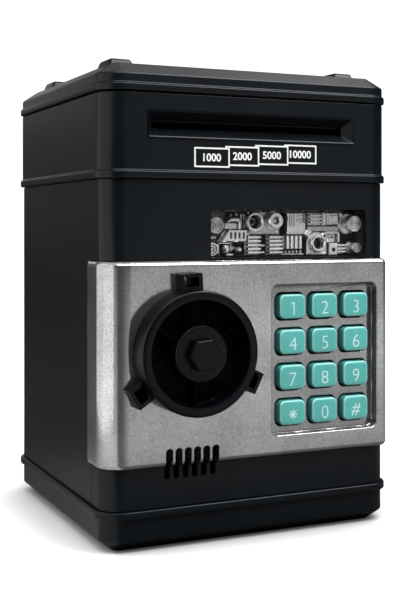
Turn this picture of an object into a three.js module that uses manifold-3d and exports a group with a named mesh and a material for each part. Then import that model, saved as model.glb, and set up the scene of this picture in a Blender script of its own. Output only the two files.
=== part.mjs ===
// A toy cash-machine savings bank: black stacked housings, a silver safe door with a handwheel and a twelve-key
// pad, a motor-driven banknote slot, a coin slot in the top cover and a battery bay in the base.
// Millimetres. +Z up, the door faces -Y, and the origin is the centre of the body on the surface it stands on.
import * as THREE from "three";
import { mergeVertices } from "three/addons/utils/BufferGeometryUtils.js";
import Module from "manifold-3d";

const wasm = await Module();
wasm.setup();

// ---------------------------------------------------------------- driving dimensions
const BODY_W = 127; // outside width of the body walls
const BODY_D = 120; // outside depth of the body walls
const CORNER_R = 8.5; // upright corner radius
const BODY_CORNER_STEPS = 7; // facets round each upright corner
const WALL = 2.2; // moulded wall
const GAP = 0.3; // clearance between neighbouring pieces
const BAND_PROUD = 1.5; // how far each trim band stands out
const BAND_H = 3.1;
const EDGE_INSET = 6; // how far the chamfers of the base and cover run in

const BASE_CHAMFER_Z = 4.4;
const BASE_TOP = 16.1;
const LOWER_BOTTOM = BASE_TOP + GAP;
const LOWER_TOP = 142;
const UPPER_BOTTOM = LOWER_TOP + GAP;
const UPPER_TOP = 175.4;
const COVER_BOTTOM = UPPER_TOP + GAP;
const COVER_SHOULDER = 182.4;
const COVER_TOP = 186.8;
const LUG_TOP = 190;

const FRONT = -BODY_D / 2;
const BACK = BODY_D / 2;
const LEFT = -BODY_W / 2;
const RIGHT = BODY_W / 2;

// the door and the rebate it closes into
const DOOR_PROUD = 3; // door face in front of the body face
const DOOR_FRONT = FRONT - DOOR_PROUD;
const DOOR_BOTTOM = 32;
const DOOR_TOP = 110.8;
const DOOR_LEFT = LEFT - 1.2; // the left flank stands just outside the body side
const DOOR_RIGHT = 61;
const DOOR_REAR = FRONT + 4.4; // rear edge of the silver shell
const DOOR_FLANK_END = FRONT + 16.7; // the left flank wraps round the corner to here
const DOOR_EDGE_R = 2.2; // rounding of the door's long edges
const COVER_PLATE_T = 1.6; // thickness of the door's back cover flange
const SEAT_Y = FRONT + 6.8; // the wall that the door closes against
const DOOR_WALL = 1.8;
const PIVOT = { x: 56.2, y: FRONT + 1.9 }; // door hinge axis
const PIVOT_CLEAR_R = 6.3; // what the door edge sweeps round the hinge
const OPENING = { x0: -48.4, x1: 55.6, z0: 38.5, z1: 104 };
const PAN = { x0: -46, x1: 55, z0: 39.5, z1: 103, rear: FRONT + 17 };
const PAN_WALL = 1.8;

// the keypad
const PAD = { x0: 6, x1: 55.7, z0: 40.4, z1: 100.8, depth: 4, r: 3 };
const PAD_FLOOR = DOOR_FRONT + PAD.depth;
const PAD_FLOOR_T = 1.4;
const KEY_W = 11.7;
const KEY_H = 9.8;
const KEY_R = 2.4;
const KEY_PROUD = 3; // above the recess floor
const KEY_PITCH_X = 14.95;
const KEY_PITCH_Z = 14.26;
const KEY_FIRST = { x: 16.25, z: 91.7 };
const KEY_NAMES = ["1", "2", "3", "4", "5", "6", "7", "8", "9", "star", "0", "hash"];

// the handwheel and its latch
const WHEEL = { x: -29.6, z: 76, r: 24, inner: 20.2, hub: 10.7, h: 11 };
const WHEEL_BACK = DOOR_FRONT - GAP;
const WHEEL_FRONT = DOOR_FRONT - WHEEL.h;
const LUG_ANGLES = [93.4, 213.4, 333.4];
const HEX_FLATS = 11.3;
const HEX_H = 3.9;
const HEX_TURN = 6; // degrees
const SHAFT_R = 2.7;
const LATCH_MODULE = 1;
const LATCH_TEETH = 10;
const LATCH_PITCH_R = (LATCH_MODULE * LATCH_TEETH) / 2;
const BOLT_Y0 = SEAT_Y + WALL + 0.6;
const BOLT_Y1 = BOLT_Y0 + 3.5;
const BOLT_TIP = PAN.x0 - 0.2;
const BOLT_END = -7;
const BOLT_TOP = WHEEL.z + LATCH_PITCH_R + 7;
const BOLT_NOTCH_X = -12.1; // the solenoid plunger drops in here once the bolt is thrown

// the banknote slot and feed
const NOTE_Z = 163.5;
const SLOT = { halfW: 42.2, halfH: 1.7, outerHalfW: 46.2, outerHalfH: 5.35, depth: 4 };
const DRIVE = { y: FRONT + 22, r: 6, shaftR: 1.5 };
DRIVE.z = NOTE_Z - 0.1 - DRIVE.r;
const IDLER = { y: DRIVE.y, r: 4, shaftR: 1.2 };
IDLER.z = NOTE_Z + 0.2 + IDLER.r;
const FEED_MODULE = 1;
const ROLLER_TEETH = 28;
const PINION_TEETH = 10;
const MOTOR_ANGLE = -20; // direction of the motor from the drive shaft, degrees below level
const CENTRE_DISTANCE = (FEED_MODULE * (ROLLER_TEETH + PINION_TEETH)) / 2;
const MOTOR = {
  y: DRIVE.y + CENTRE_DISTANCE * Math.cos((MOTOR_ANGLE * Math.PI) / 180),
  z: DRIVE.z + CENTRE_DISTANCE * Math.sin((MOTOR_ANGLE * Math.PI) / 180),
};
const CHEEK_X = 46; // inner face of the feed frame's cheeks

// the display window
const WINDOW = { x0: -19.4, x1: 52.3, z0: 111.7, z1: 131 };
const WINDOW_REBATE = 1.2; // the lens is this much larger all round
const RELIEF_Y = FRONT + 9.2; // front of the relief's back plate

// the vents under the handwheel
const VENT = { count: 6, pitch: 3.9, w: 2.8, x0: -38.1, top: 38.9, bottom: 26.8, sillW: 2.4, depth: 3.2 };

// base contents
const BAY = { x0: -29.8, x1: 29.8, y0: 2.2, y1: 49.8, roof: 17.8 };
const TAB = { x: -20, y: -0.8 }; // the battery cover's screw tab
const CELL = { r: 7.25, len: 49.5, z: 9.8 };
const SCREW_POSTS = [
  [-50, -46],
  [50, -46],
  [-50, 46],
  [50, 46],
];
const FLOOR_Z = 33.5; // underside of the money floor
const COIN_SLOT = { y: 22, w: 34, t: 4.6 };

// ---------------------------------------------------------------- solids
function solid(geometry) {
  const g = geometry.index ? geometry.toNonIndexed() : geometry.clone();
  for (const name of Object.keys(g.attributes)) if (name !== "position") g.deleteAttribute(name);
  const merged = mergeVertices(g, 1e-4);
  return new wasm.Manifold(
    new wasm.Mesh({
      numProp: 3,
      vertProperties: merged.attributes.position.array,
      triVerts: new Uint32Array(merged.index.array),
    }),
  );
}

function geometryOf(manifold) {
  const mesh = manifold.getMesh();
  return new THREE.BufferGeometry()
    .setAttribute("position", new THREE.BufferAttribute(new Float32Array(mesh.vertProperties), 3))
    .setIndex(new THREE.BufferAttribute(new Uint32Array(mesh.triVerts), 1));
}

const join = (...solids) => solids.reduce((a, b) => a.add(b));
const cut = (first, ...rest) => rest.reduce((a, b) => a.subtract(b), first);

// A box between two corners.
function box(x0, x1, y0, y1, z0, z1) {
  const g = new THREE.BoxGeometry(x1 - x0, y1 - y0, z1 - z0);
  return solid(g.translate((x0 + x1) / 2, (y0 + y1) / 2, (z0 + z1) / 2));
}

// Extrudes a shape drawn in (a, b) along the named axis from low to high.
const AXES = {
  z: [new THREE.Vector3(1, 0, 0), new THREE.Vector3(0, 1, 0), new THREE.Vector3(0, 0, 1)],
  x: [new THREE.Vector3(0, 1, 0), new THREE.Vector3(0, 0, 1), new THREE.Vector3(1, 0, 0)],
  y: [new THREE.Vector3(1, 0, 0), new THREE.Vector3(0, 0, 1), new THREE.Vector3(0, -1, 0)],
};

function prism(shape, axis, low, high, curveSegments = 2) {
  const outline = shape.getPoints(curveSegments);
  const points = outline.filter((p, i) => p.distanceTo(outline[(i + 1) % outline.length]) > 1e-3);
  const g = new THREE.ExtrudeGeometry(new THREE.Shape(points), { depth: high - low, bevelEnabled: false });
  g.translate(0, 0, axis === "y" ? -high : low);
  return solid(g.applyMatrix4(new THREE.Matrix4().makeBasis(...AXES[axis])));
}

// A rectangle with rounded corners, as a shape; radii go round from the low-low corner.
function roundRect(x0, x1, y0, y1, r) {
  const [a, b, c, d] = Array.isArray(r) ? r : [r, r, r, r];
  const s = new THREE.Shape();
  s.moveTo(x0 + a, y0);
  s.lineTo(x1 - b, y0);
  if (b) s.absarc(x1 - b, y0 + b, b, -Math.PI / 2, 0);
  s.lineTo(x1, y1 - c);
  if (c) s.absarc(x1 - c, y1 - c, c, 0, Math.PI / 2);
  s.lineTo(x0 + d, y1);
  if (d) s.absarc(x0 + d, y1 - d, d, Math.PI / 2, Math.PI);
  s.lineTo(x0, y0 + a);
  if (a) s.absarc(x0 + a, y0 + a, a, Math.PI, 1.5 * Math.PI);
  return s;
}

// A stack of rounded rectangles joined level to level: {z, x0, x1, y0, y1, r}.
function stackGeometry(levels, steps = 3) {
  const rings = levels.map((l) => {
    const corners = [
      [l.x1 - l.r, l.y0 + l.r, -90],
      [l.x1 - l.r, l.y1 - l.r, 0],
      [l.x0 + l.r, l.y1 - l.r, 90],
      [l.x0 + l.r, l.y0 + l.r, 180],
    ];
    return corners.flatMap(([cx, cy, from]) =>
      Array.from({ length: steps + 1 }, (_, i) => {
        const a = THREE.MathUtils.degToRad(from + (90 * i) / steps);
        return [cx + l.r * Math.cos(a), cy + l.r * Math.sin(a), l.z];
      }),
    );
  });
  const n = rings[0].length;
  const index = [];
  for (let k = 0; k + 1 < rings.length; k++)
    for (let i = 0; i < n; i++) {
      const a = k * n + i;
      const b = k * n + ((i + 1) % n);
      index.push(a, b, b + n, a, b + n, a + n);
    }
  const last = (rings.length - 1) * n;
  for (let i = 1; i + 1 < n; i++) {
    index.push(0, i + 1, i);
    index.push(last, last + i, last + i + 1);
  }
  const g = new THREE.BufferGeometry()
    .setAttribute("position", new THREE.Float32BufferAttribute(rings.flat(2), 3))
    .setIndex(index);
  return g;
}

const stack = (levels, steps) => solid(stackGeometry(levels, steps));
const bodyStack = (levels) => stack(levels, BODY_CORNER_STEPS);

// The same stack with its levels running along +Y, drawn about the height given.
const stackY = (levels, z, steps) =>
  solid(stackGeometry(levels, steps).rotateX(-Math.PI / 2).translate(0, 0, z));

// A level of the body outline, inset by a distance, or stood out by a negative one.
const bodyLevel = (z, inset = 0, r = CORNER_R - inset) => ({
  z,
  x0: LEFT + inset,
  x1: RIGHT - inset,
  y0: FRONT + inset,
  y1: BACK - inset,
  r: Math.max(r, 1),
});
const bodyPrism = (z0, z1, inset = 0) => bodyStack([bodyLevel(z0, inset), bodyLevel(z1, inset)]);

// A cylinder along an axis: centre (a, b) in the other two axes, in the order X, Y, Z.
function rod(axis, a, b, r, low, high, segments = 16) {
  const g = new THREE.CylinderGeometry(r, r, high - low, segments);
  const middle = (low + high) / 2;
  if (axis === "z") g.rotateX(Math.PI / 2).translate(a, b, middle);
  if (axis === "x") g.rotateZ(Math.PI / 2).translate(middle, a, b);
  if (axis === "y") g.translate(a, middle, b);
  return solid(g);
}

// An involute gear outline centred on the origin; a tooth points along +X when turned by 0.
function gearShape(module_, teeth, turn = 0, thin = 0.16) {
  const pitch = (module_ * teeth) / 2;
  const base = pitch * Math.cos(THREE.MathUtils.degToRad(20));
  const outer = pitch + 0.75 * module_;
  const root = pitch - 1.2 * module_;
  const involute = (r) => {
    const t = Math.sqrt(Math.max(0, (r / base) ** 2 - 1));
    return t - Math.atan(t);
  };
  const halfAtPitch = Math.PI / (2 * teeth) - thin / pitch;
  const start = Math.max(base, root);
  const radii = [0, 1, 2].map((i) => start + ((outer - start) * i) / 2);
  const points = [];
  for (let k = 0; k < teeth; k++) {
    const mid = (2 * Math.PI * k) / teeth + turn;
    const half = (r) => halfAtPitch + involute(pitch) - involute(r);
    points.push([root, mid - half(start)]);
    for (const r of radii) points.push([r, mid - half(r)]);
    for (const r of [...radii].reverse()) points.push([r, mid + half(r)]);
    points.push([root, mid + half(start)]);
  }
  return new THREE.Shape(points.map(([r, a]) => new THREE.Vector2(r * Math.cos(a), r * Math.sin(a))));
}

// ---------------------------------------------------------------- materials
const material = (color, roughness, metalness = 0, extra = {}) =>
  new THREE.MeshStandardMaterial({ color, roughness, metalness, ...extra });
const black = material(0x1b1e20, 0.45);
const blackInner = material(0x202325, 0.6);
const silver = material(0x9a9a9a, 0.38, 0.75);
const chrome = material(0xc4c6c8, 0.3, 0.85);
const teal = material(0x5cc0aa, 0.42);
const clear = material(0xe8eef0, 0.05, 0, { transparent: true, opacity: 0.25 });
const steel = material(0xb4b6b8, 0.35, 0.9);
const board = material(0x1e6a3a, 0.6);
const rubber = material(0x2c2c2e, 0.85);
const nylon = material(0xe8e6df, 0.55);
const cell = material(0x3d5a80, 0.4, 0.2);

const bank = new THREE.Group();
function add(name, manifold, look, parent = bank) {
  const mesh = new THREE.Mesh(geometryOf(manifold), look);
  mesh.name = name;
  parent.add(mesh);
}

// ---------------------------------------------------------------- base
function baseTray() {
  const shell = bodyStack([
    bodyLevel(0, EDGE_INSET),
    bodyLevel(BASE_CHAMFER_Z, 0),
    bodyLevel(BASE_TOP - BAND_H, 0),
    bodyLevel(BASE_TOP - BAND_H + 0.01, -BAND_PROUD),
    bodyLevel(BASE_TOP, -BAND_PROUD),
  ]);
  const hollow = bodyStack([
    bodyLevel(WALL, EDGE_INSET + 1.2),
    bodyLevel(BASE_CHAMFER_Z + 1, WALL),
    bodyLevel(BASE_TOP + 1, WALL),
  ]);
  const bay = box(BAY.x0 - 1.6, BAY.x1 + 1.6, BAY.y0 - 1.6, BAY.y1 + 1.6, 1, BAY.roof + 1.6);
  const posts = SCREW_POSTS.map(([x, y]) => rod("z", x, y, 5, 1, BASE_TOP - 0.5, 12));
  const heads = SCREW_POSTS.map(([x, y]) => rod("z", x, y, 3.4, -1, 6, 12));
  const shanks = SCREW_POSTS.map(([x, y]) => rod("z", x, y, 1.9, -1, BASE_TOP + 1, 12));
  const bayHollow = box(BAY.x0, BAY.x1, BAY.y0, BAY.y1, -1, BAY.roof);
  const tabBoss = box(TAB.x - 6, TAB.x + 6, TAB.y - 5, BAY.y0, 1, 11);
  const tabSeat = box(TAB.x - 4.3, TAB.x + 4.3, TAB.y - 3.3, BAY.y0 + 1, -1, 2.2);
  const tabHole = rod("z", TAB.x, TAB.y, 1.15, 1, 9, 12);
  const solids = join(cut(shell, hollow), bay, tabBoss, ...posts);
  return cut(solids, bayHollow, tabSeat, tabHole, ...heads, ...shanks);
}

function batteryCover() {
  const z = [0.2, 1.9];
  const plate = prism(roundRect(BAY.x0 + GAP, BAY.x1 - GAP, BAY.y0 + GAP, BAY.y1 - GAP, 1.5), "z", ...z);
  const tab = box(TAB.x - 4, TAB.x + 4, TAB.y - 3, BAY.y0 + 2, ...z);
  const grips = [-6, -3, 0, 3, 6].map((dx) => box(dx - 0.6, dx + 0.6, BAY.y0 + 6, BAY.y0 + 16, 0, 0.8));
  const head = rod("z", TAB.x, TAB.y, 2.4, -1, 1.1, 12);
  return cut(join(plate, tab), ...grips, head, rod("z", TAB.x, TAB.y, 1.3, -1, 3, 12));
}

function contactStrip(side) {
  const wall = side < 0 ? BAY.x0 : BAY.x1;
  const x0 = side < 0 ? wall + GAP : wall - GAP - 0.6;
  const plate = box(x0, x0 + 0.6, BAY.y0 + 1, BAY.y1 - 1, 4, 15.5);
  const springs = cellRows()
    .filter((_, i) => (i % 2 === 0) === side < 0)
    .map((y) => {
      const g = new THREE.CylinderGeometry(2.2, 4, 3.4, 12);
      g.rotateZ(side < 0 ? -Math.PI / 2 : Math.PI / 2).translate(wall - side * 2.5, y, CELL.z);
      return solid(g);
    });
  return join(plate, ...springs);
}

function cellRows() {
  const pitch = 2 * CELL.r + 0.7;
  const middle = (BAY.y0 + BAY.y1) / 2;
  return [middle - pitch, middle, middle + pitch];
}

// A dry cell lying along X with its button at the end away from its spring.
function dryCell(y, buttonSide) {
  const springRoom = 4.6;
  const far = buttonSide > 0 ? BAY.x0 + springRoom : BAY.x1 - springRoom;
  const s = (x) => far + buttonSide * x;
  const profile = [
    [0, 0],
    [CELL.r - 0.5, 0],
    [CELL.r, 0.6],
    [CELL.r, CELL.len - 1],
    [CELL.r - 1, CELL.len],
    [2.6, CELL.len],
    [2.4, CELL.len + 1.1],
    [0, CELL.len + 1.1],
  ].map(([r, h]) => new THREE.Vector2(r, h));
  const g = new THREE.LatheGeometry(profile, 16);
  g.rotateZ(buttonSide > 0 ? -Math.PI / 2 : Math.PI / 2).translate(s(0), y, CELL.z);
  return solid(g);
}

// A pan-head screw standing along Z with its head down.
function screw(x, y, headZ, headR, headH, shankR, length) {
  const profile = [
    [0, 0],
    [headR * 0.75, 0],
    [headR, headH * 0.4],
    [headR, headH],
    [shankR, headH],
    [shankR, headH + length - 1.4],
    [0, headH + length],
  ].map(([r, h]) => new THREE.Vector2(r, h));
  const body = solid(new THREE.LatheGeometry(profile, 12).rotateX(Math.PI / 2).translate(x, y, headZ));
  const slots = [0, 90].map((turn) =>
    solid(new THREE.BoxGeometry(headR * 1.1, 0.7, 1).rotateZ((turn * Math.PI) / 180).translate(x, y, headZ)),
  );
  return cut(body, ...slots);
}

add("base_tray", baseTray(), black);
add("battery_cover", batteryCover(), black);
add("battery_cover_screw", screw(TAB.x, TAB.y, 0.2, 2.1, 0.8, 0.95, 6.5), steel);
cellRows().forEach((y, i) => add(`battery_${i + 1}`, dryCell(y, i % 2 === 0 ? 1 : -1), cell));
add("contact_strip_left", contactStrip(-1), steel);
add("contact_strip_right", contactStrip(1), steel);
SCREW_POSTS.forEach(([x, y], i) => add(`base_screw_${i + 1}`, screw(x, y, 3.6, 3, 2, 1.4, 18), steel));


// ---------------------------------------------------------------- lower body
const FLANK_INNER = DOOR_LEFT + DOOR_WALL + 0.4; // body side behind the door's left flank

// The space the closed door fills, grown by a margin: behind its face, round the left corner, about the hinge.
function doorRebate(grow = 0) {
  const z = [DOOR_BOTTOM - GAP - grow, DOOR_TOP + GAP + grow];
  const face = box(LEFT - 5, DOOR_RIGHT + GAP + grow, FRONT - 5, SEAT_Y + grow, ...z);
  const flank = box(LEFT - 5, FLANK_INNER + grow, FRONT - 5, DOOR_FLANK_END + GAP + grow, ...z);
  const swing = rod("z", PIVOT.x, PIVOT.y, PIVOT_CLEAR_R + grow, ...z, 32);
  return join(face, flank, swing);
}

function ventSlots(width, y0, y1, z0, z1) {
  return Array.from({ length: VENT.count }, (_, i) => {
    const x = VENT.x0 + i * VENT.pitch;
    return prism(roundRect(x - width / 2, x + width / 2, z0, z1, width / 2 - 0.01), "y", y0, y1, 2);
  });
}

function lowerBody() {
  const outline = bodyPrism(LOWER_BOTTOM, LOWER_TOP);
  const hollow = bodyPrism(LOWER_BOTTOM - 1, LOWER_TOP - 2.2, WALL);
  const deckHole = box(-44, 44, -34, 44, LOWER_TOP - 4, LOWER_TOP + 1);
  const posts = SCREW_POSTS.map(([x, y]) => rod("z", x, y, 4.6, LOWER_BOTTOM, FLOOR_Z - GAP, 12));
  const ribs = [-56, 50].flatMap((y) => [-52, 50].map((x) => box(x, x + 2, y, y + 8, FLOOR_Z - 6, FLOOR_Z - GAP)));
  const pinBosses = [
    rod("z", PIVOT.x, PIVOT.y, 3.4, DOOR_TOP, DOOR_TOP + 5.5, 16),
    rod("z", PIVOT.x, PIVOT.y, 3.4, DOOR_BOTTOM - 6, DOOR_BOTTOM - 0.5, 16),
  ];
  const solids = join(cut(outline, hollow), doorRebate(WALL), ...posts, ...ribs, ...pinBosses).intersect(outline);
  const shanks = SCREW_POSTS.map(([x, y]) => rod("z", x, y, 1.7, LOWER_BOTTOM - 1, 26, 12));
  const w = WINDOW;
  const light = prism(roundRect(w.x0, w.x1, w.z0, w.z1, [0.6, 2, 2, 0.6]), "y", FRONT - 1, FRONT + 5, 3);
  const e = WINDOW_REBATE;
  const lensSeat = box(w.x0 - e, w.x1 + e, FRONT + 1.2, FRONT + 14, w.z0, w.z1 + e);
  const opening = box(OPENING.x0, OPENING.x1, SEAT_Y - 1, SEAT_Y + WALL + 3, OPENING.z0, OPENING.z1);
  const pinHole = rod("z", PIVOT.x, PIVOT.y, 1.05, DOOR_BOTTOM - 5, DOOR_TOP + 4.5, 12);
  const slots = ventSlots(VENT.sillW, FRONT - 1, FRONT + VENT.depth, VENT.bottom, DOOR_BOTTOM + 3);
  const parting = box(LEFT - 1, LEFT + 0.4, -45.2, -44.8, LOWER_BOTTOM - 1, DOOR_BOTTOM);
  return cut(solids, doorRebate(), opening, light, lensSeat, pinHole, parting, ...slots, ...shanks, deckHole);
}

function moneyFloor() {
  const slab = bodyPrism(FLOOR_Z, FLOOR_Z + 1.8, WALL + GAP);
  return cut(slab, doorRebate(WALL + GAP));
}

function mainBoard() {
  const z = 24;
  const parts = [
    box(-38, 38, -30, 38, z, z + 1.6),
    box(-8, 8, -20, -8, z + 1, z + 4),
    box(-32, -24, 8, 30, z + 1, z + 5),
    rod("z", 24, -12, 3.2, z + 1, z + 8, 12),
    rod("z", 15, -18, 2.4, z + 1, z + 7, 12),
    box(10, 26, 14, 20, z + 1, z + 5.5),
  ];
  return join(...parts);
}

function speaker() {
  const profile = [
    [0, 0],
    [2.2, 0.3],
    [5.6, 2],
    [6.6, 1.9],
    [6.8, 0.4],
    [6.9, 2.6],
    [4.4, 4],
    [4.2, 6.2],
    [0, 6.2],
  ].map(([r, h]) => new THREE.Vector2(r, h));
  const x = VENT.x0 + 2.5 * VENT.pitch;
  return solid(new THREE.LatheGeometry(profile, 20).translate(x, FRONT + WALL + 1.3, 22.2));
}

function windowLens() {
  const w = WINDOW;
  const e = WINDOW_REBATE - 0.25;
  return box(w.x0 - e, w.x1 + e, FRONT + 1.45, FRONT + 2.4, w.z0 + GAP, w.z1 + e);
}

// The machine relief behind the lens: a back plate in a shallow tray with cylinders, rings, blocks and pipes.
function reliefPanel() {
  const w = WINDOW;
  const front = FRONT + 2.8;
  const tray = cut(
    box(w.x0 - 0.9, w.x1 + 0.9, front, RELIEF_Y + 1.5, w.z0 + GAP, w.z1 + 0.9),
    box(w.x0 - 0.2, w.x1 + 0.2, front - 1, RELIEF_Y, w.z0 + 1, w.z1 + 0.2),
  );
  const out = (depth) => RELIEF_Y - depth;
  const disc = (x, z, r, depth, segments = 14) => rod("y", x, z, r, out(depth), RELIEF_Y + 0.5, segments);
  const block = (x0, x1, z0, z1, depth) => box(x0, x1, out(depth), RELIEF_Y + 0.5, z0, z1);
  const ribs = (x0, x1, z0, z1, n, depth) =>
    Array.from({ length: n }, (_, i) => {
      const h = (z1 - z0) / n;
      return block(x0, x1, z0 + i * h + h * 0.2, z0 + i * h + h * 0.8, depth);
    });
  const solids = [
    disc(-13.9, 124.5, 3.2, 3),
    disc(-13.9, 124.5, 1.6, 3.8),
    disc(-15.7, 115, 2.6, 3.2),
    block(-9.6, -3.6, 122.8, 127.3, 2.6),
    block(-10.6, -0.6, 117.9, 122.6, 3.2),
    block(-10.8, -8.5, 113.2, 116.8, 3.6),
    disc(-4.1, 114.6, 1, 4, 10),
    block(1, 15.4, 120.8, 129.8, 1.6),
    disc(3.1, 125.9, 4.1, 3.8, 16),
    disc(11.9, 126.4, 3.4, 5),
    block(-0.3, 6, 112.2, 120.4, 2.6),
    ...ribs(-0.3, 6, 112.4, 120.4, 5, 3.7),
    block(9.5, 16.1, 112.2, 120.4, 2.6),
    ...ribs(9.5, 16.1, 112.4, 120.4, 5, 3.7),
    block(18.1, 26.7, 120.7, 129.5, 3.5),
    block(17.4, 25.4, 114.6, 120.3, 3.4),
    block(28.5, 34.9, 124.5, 129.6, 3.2),
    block(35.1, 42.9, 124.6, 129.6, 3),
    block(29, 43.4, 117.5, 124.2, 1.4),
    block(27.7, 37, 112.2, 117, 2.6),
    disc(32.6, 117, 3.7, 4.4, 16),
    block(38, 42.1, 112.2, 116.9, 3.4),
    ...ribs(42, 46.3, 112.4, 116.9, 3, 3.6),
    disc(47.8, 125.1, 4.3, 2.4, 16),
    disc(49, 125.1, 3.3, 6.2, 16),
    disc(50.2, 115, 2.1, 6),
  ];
  const bores = [
    rod("y", 3.1, 125.9, 2.6, out(5), out(0.6), 16),
    rod("y", 32.6, 117, 2.4, out(5), out(0.8), 12),
    rod("y", 11.9, 126.4, 1.2, out(6), out(3.6), 12),
  ];
  return cut(join(tray, ...solids), ...bores);
}

function displayBoard() {
  const y = RELIEF_Y + 1.8;
  const led = (x) => rod("y", x, 121, 1.5, y + 1, y + 3.4, 10);
  return join(box(-18, 50, y, y + 1.5, 114.5, 129), led(-8), led(16), led(40));
}

add("lower_body", lowerBody(), black);
add("money_floor", moneyFloor(), blackInner);
add("main_board", mainBoard(), board);
add("speaker", speaker(), blackInner);
add("window_lens", windowLens(), clear);
add("relief_panel", reliefPanel(), chrome);
add("display_board", displayBoard(), board);

// ---------------------------------------------------------------- door
const KEYS = KEY_NAMES.map((label, i) => ({
  label,
  x: KEY_FIRST.x + (i % 3) * KEY_PITCH_X,
  z: KEY_FIRST.z - Math.floor(i / 3) * KEY_PITCH_Z,
}));
const DOOR_SCREWS = [
  [-54, 46],
  [-54, 96],
  [-6, 106.2],
  [-6, 36.4],
];

// The door's outline seen from above, inset all round, from its left flank to its right edge.
function doorOutline(inset, rear, flankEnd) {
  const x0 = DOOR_LEFT + inset;
  const x1 = DOOR_RIGHT - inset;
  const y = DOOR_FRONT + inset;
  const corner = CORNER_R + 1.5 - inset;
  const edge = Math.max(DOOR_EDGE_R - inset, 0.3);
  const s = new THREE.Shape();
  s.moveTo(x0, flankEnd);
  s.lineTo(x0, y + corner);
  s.absarc(x0 + corner, y + corner, corner, Math.PI, 1.5 * Math.PI);
  s.lineTo(x1 - edge, y);
  s.absarc(x1 - edge, y + edge, edge, -Math.PI / 2, 0);
  s.lineTo(x1, rear);
  if (flankEnd > rear) {
    s.lineTo(x0 + DOOR_WALL, rear);
    s.lineTo(x0 + DOOR_WALL, flankEnd);
  }
  return s;
}

function doorPanel() {
  const z = [DOOR_BOTTOM, DOOR_TOP];
  const r = DOOR_EDGE_R;
  const block = prism(doorOutline(0, DOOR_REAR, DOOR_FLANK_END), "z", ...z, 6);
  const faceRound = prism(roundRect(DOOR_FRONT, 0, ...z, [r, 0, 0, r]), "x", LEFT - 5, RIGHT + 5, 3);
  const sideRound = prism(roundRect(DOOR_LEFT, RIGHT, ...z, [1, 0, 0, 1]), "y", FRONT - 9, 0, 2);
  const inner = [DOOR_BOTTOM + DOOR_WALL, DOOR_TOP - DOOR_WALL];
  const hollow = prism(doorOutline(DOOR_WALL, DOOR_REAR + 3, DOOR_REAR + 3), "z", ...inner, 5);
  const shell = cut(block.intersect(faceRound).intersect(sideRound), hollow);
  const p = PAD;
  const m = PAD_FLOOR_T;
  const padBlock = prism(roundRect(p.x0 - m, p.x1 + m, p.z0 - m, p.z1 + m, p.r + m), "y", DOOR_FRONT + 1, DOOR_REAR, 4);
  const padHollow = prism(roundRect(p.x0, p.x1, p.z0, p.z1, p.r), "y", DOOR_FRONT - 2, PAD_FLOOR, 4);
  const w = KEY_W / 2 + 0.45;
  const h = KEY_H / 2 + 0.45;
  const keyHoles = KEYS.map((k) =>
    prism(roundRect(k.x - w, k.x + w, k.z - h, k.z + h, KEY_R), "y", PAD_FLOOR - 1, DOOR_REAR + 1, 1),
  );
  const bosses = [
    box(PIVOT.x - 2.8, DOOR_RIGHT - 1, DOOR_FRONT + 1, DOOR_REAR, DOOR_TOP - 7, DOOR_TOP - 1),
    box(PIVOT.x - 2.8, DOOR_RIGHT - 1, DOOR_FRONT + 1, DOOR_REAR, DOOR_BOTTOM + 1, DOOR_BOTTOM + 7),
    rod("y", WHEEL.x, WHEEL.z, 6, DOOR_FRONT + 1, DOOR_REAR, 16),
    ...DOOR_SCREWS.map(([x, zz]) => rod("y", x, zz, 2.7, DOOR_FRONT + 1, DOOR_REAR, 12)),
  ];
  const holes = [
    rod("z", PIVOT.x, PIVOT.y, 0.95, DOOR_TOP - 6, DOOR_TOP + 1, 12),
    rod("z", PIVOT.x, PIVOT.y, 0.95, DOOR_BOTTOM - 1, DOOR_BOTTOM + 6, 12),
    rod("y", WHEEL.x, WHEEL.z, SHAFT_R + GAP, DOOR_FRONT - 1, DOOR_REAR + 1, 16),
    ...DOOR_SCREWS.map(([x, zz]) => rod("y", x, zz, 1.25, DOOR_FRONT + 2, DOOR_REAR + 1, 10)),
    ...ventSlots(VENT.w, DOOR_FRONT - 1, DOOR_FRONT + VENT.depth, DOOR_BOTTOM - 6, VENT.top),
    ...ventSlots(VENT.w, DOOR_FRONT + 1, DOOR_REAR + 1, DOOR_BOTTOM - 6, DOOR_BOTTOM + DOOR_WALL + 2),
  ];
  const solids = join(shell, cut(padBlock, padHollow), ...bosses);
  return cut(solids, padHollow, ...keyHoles, ...holes);
}

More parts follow.
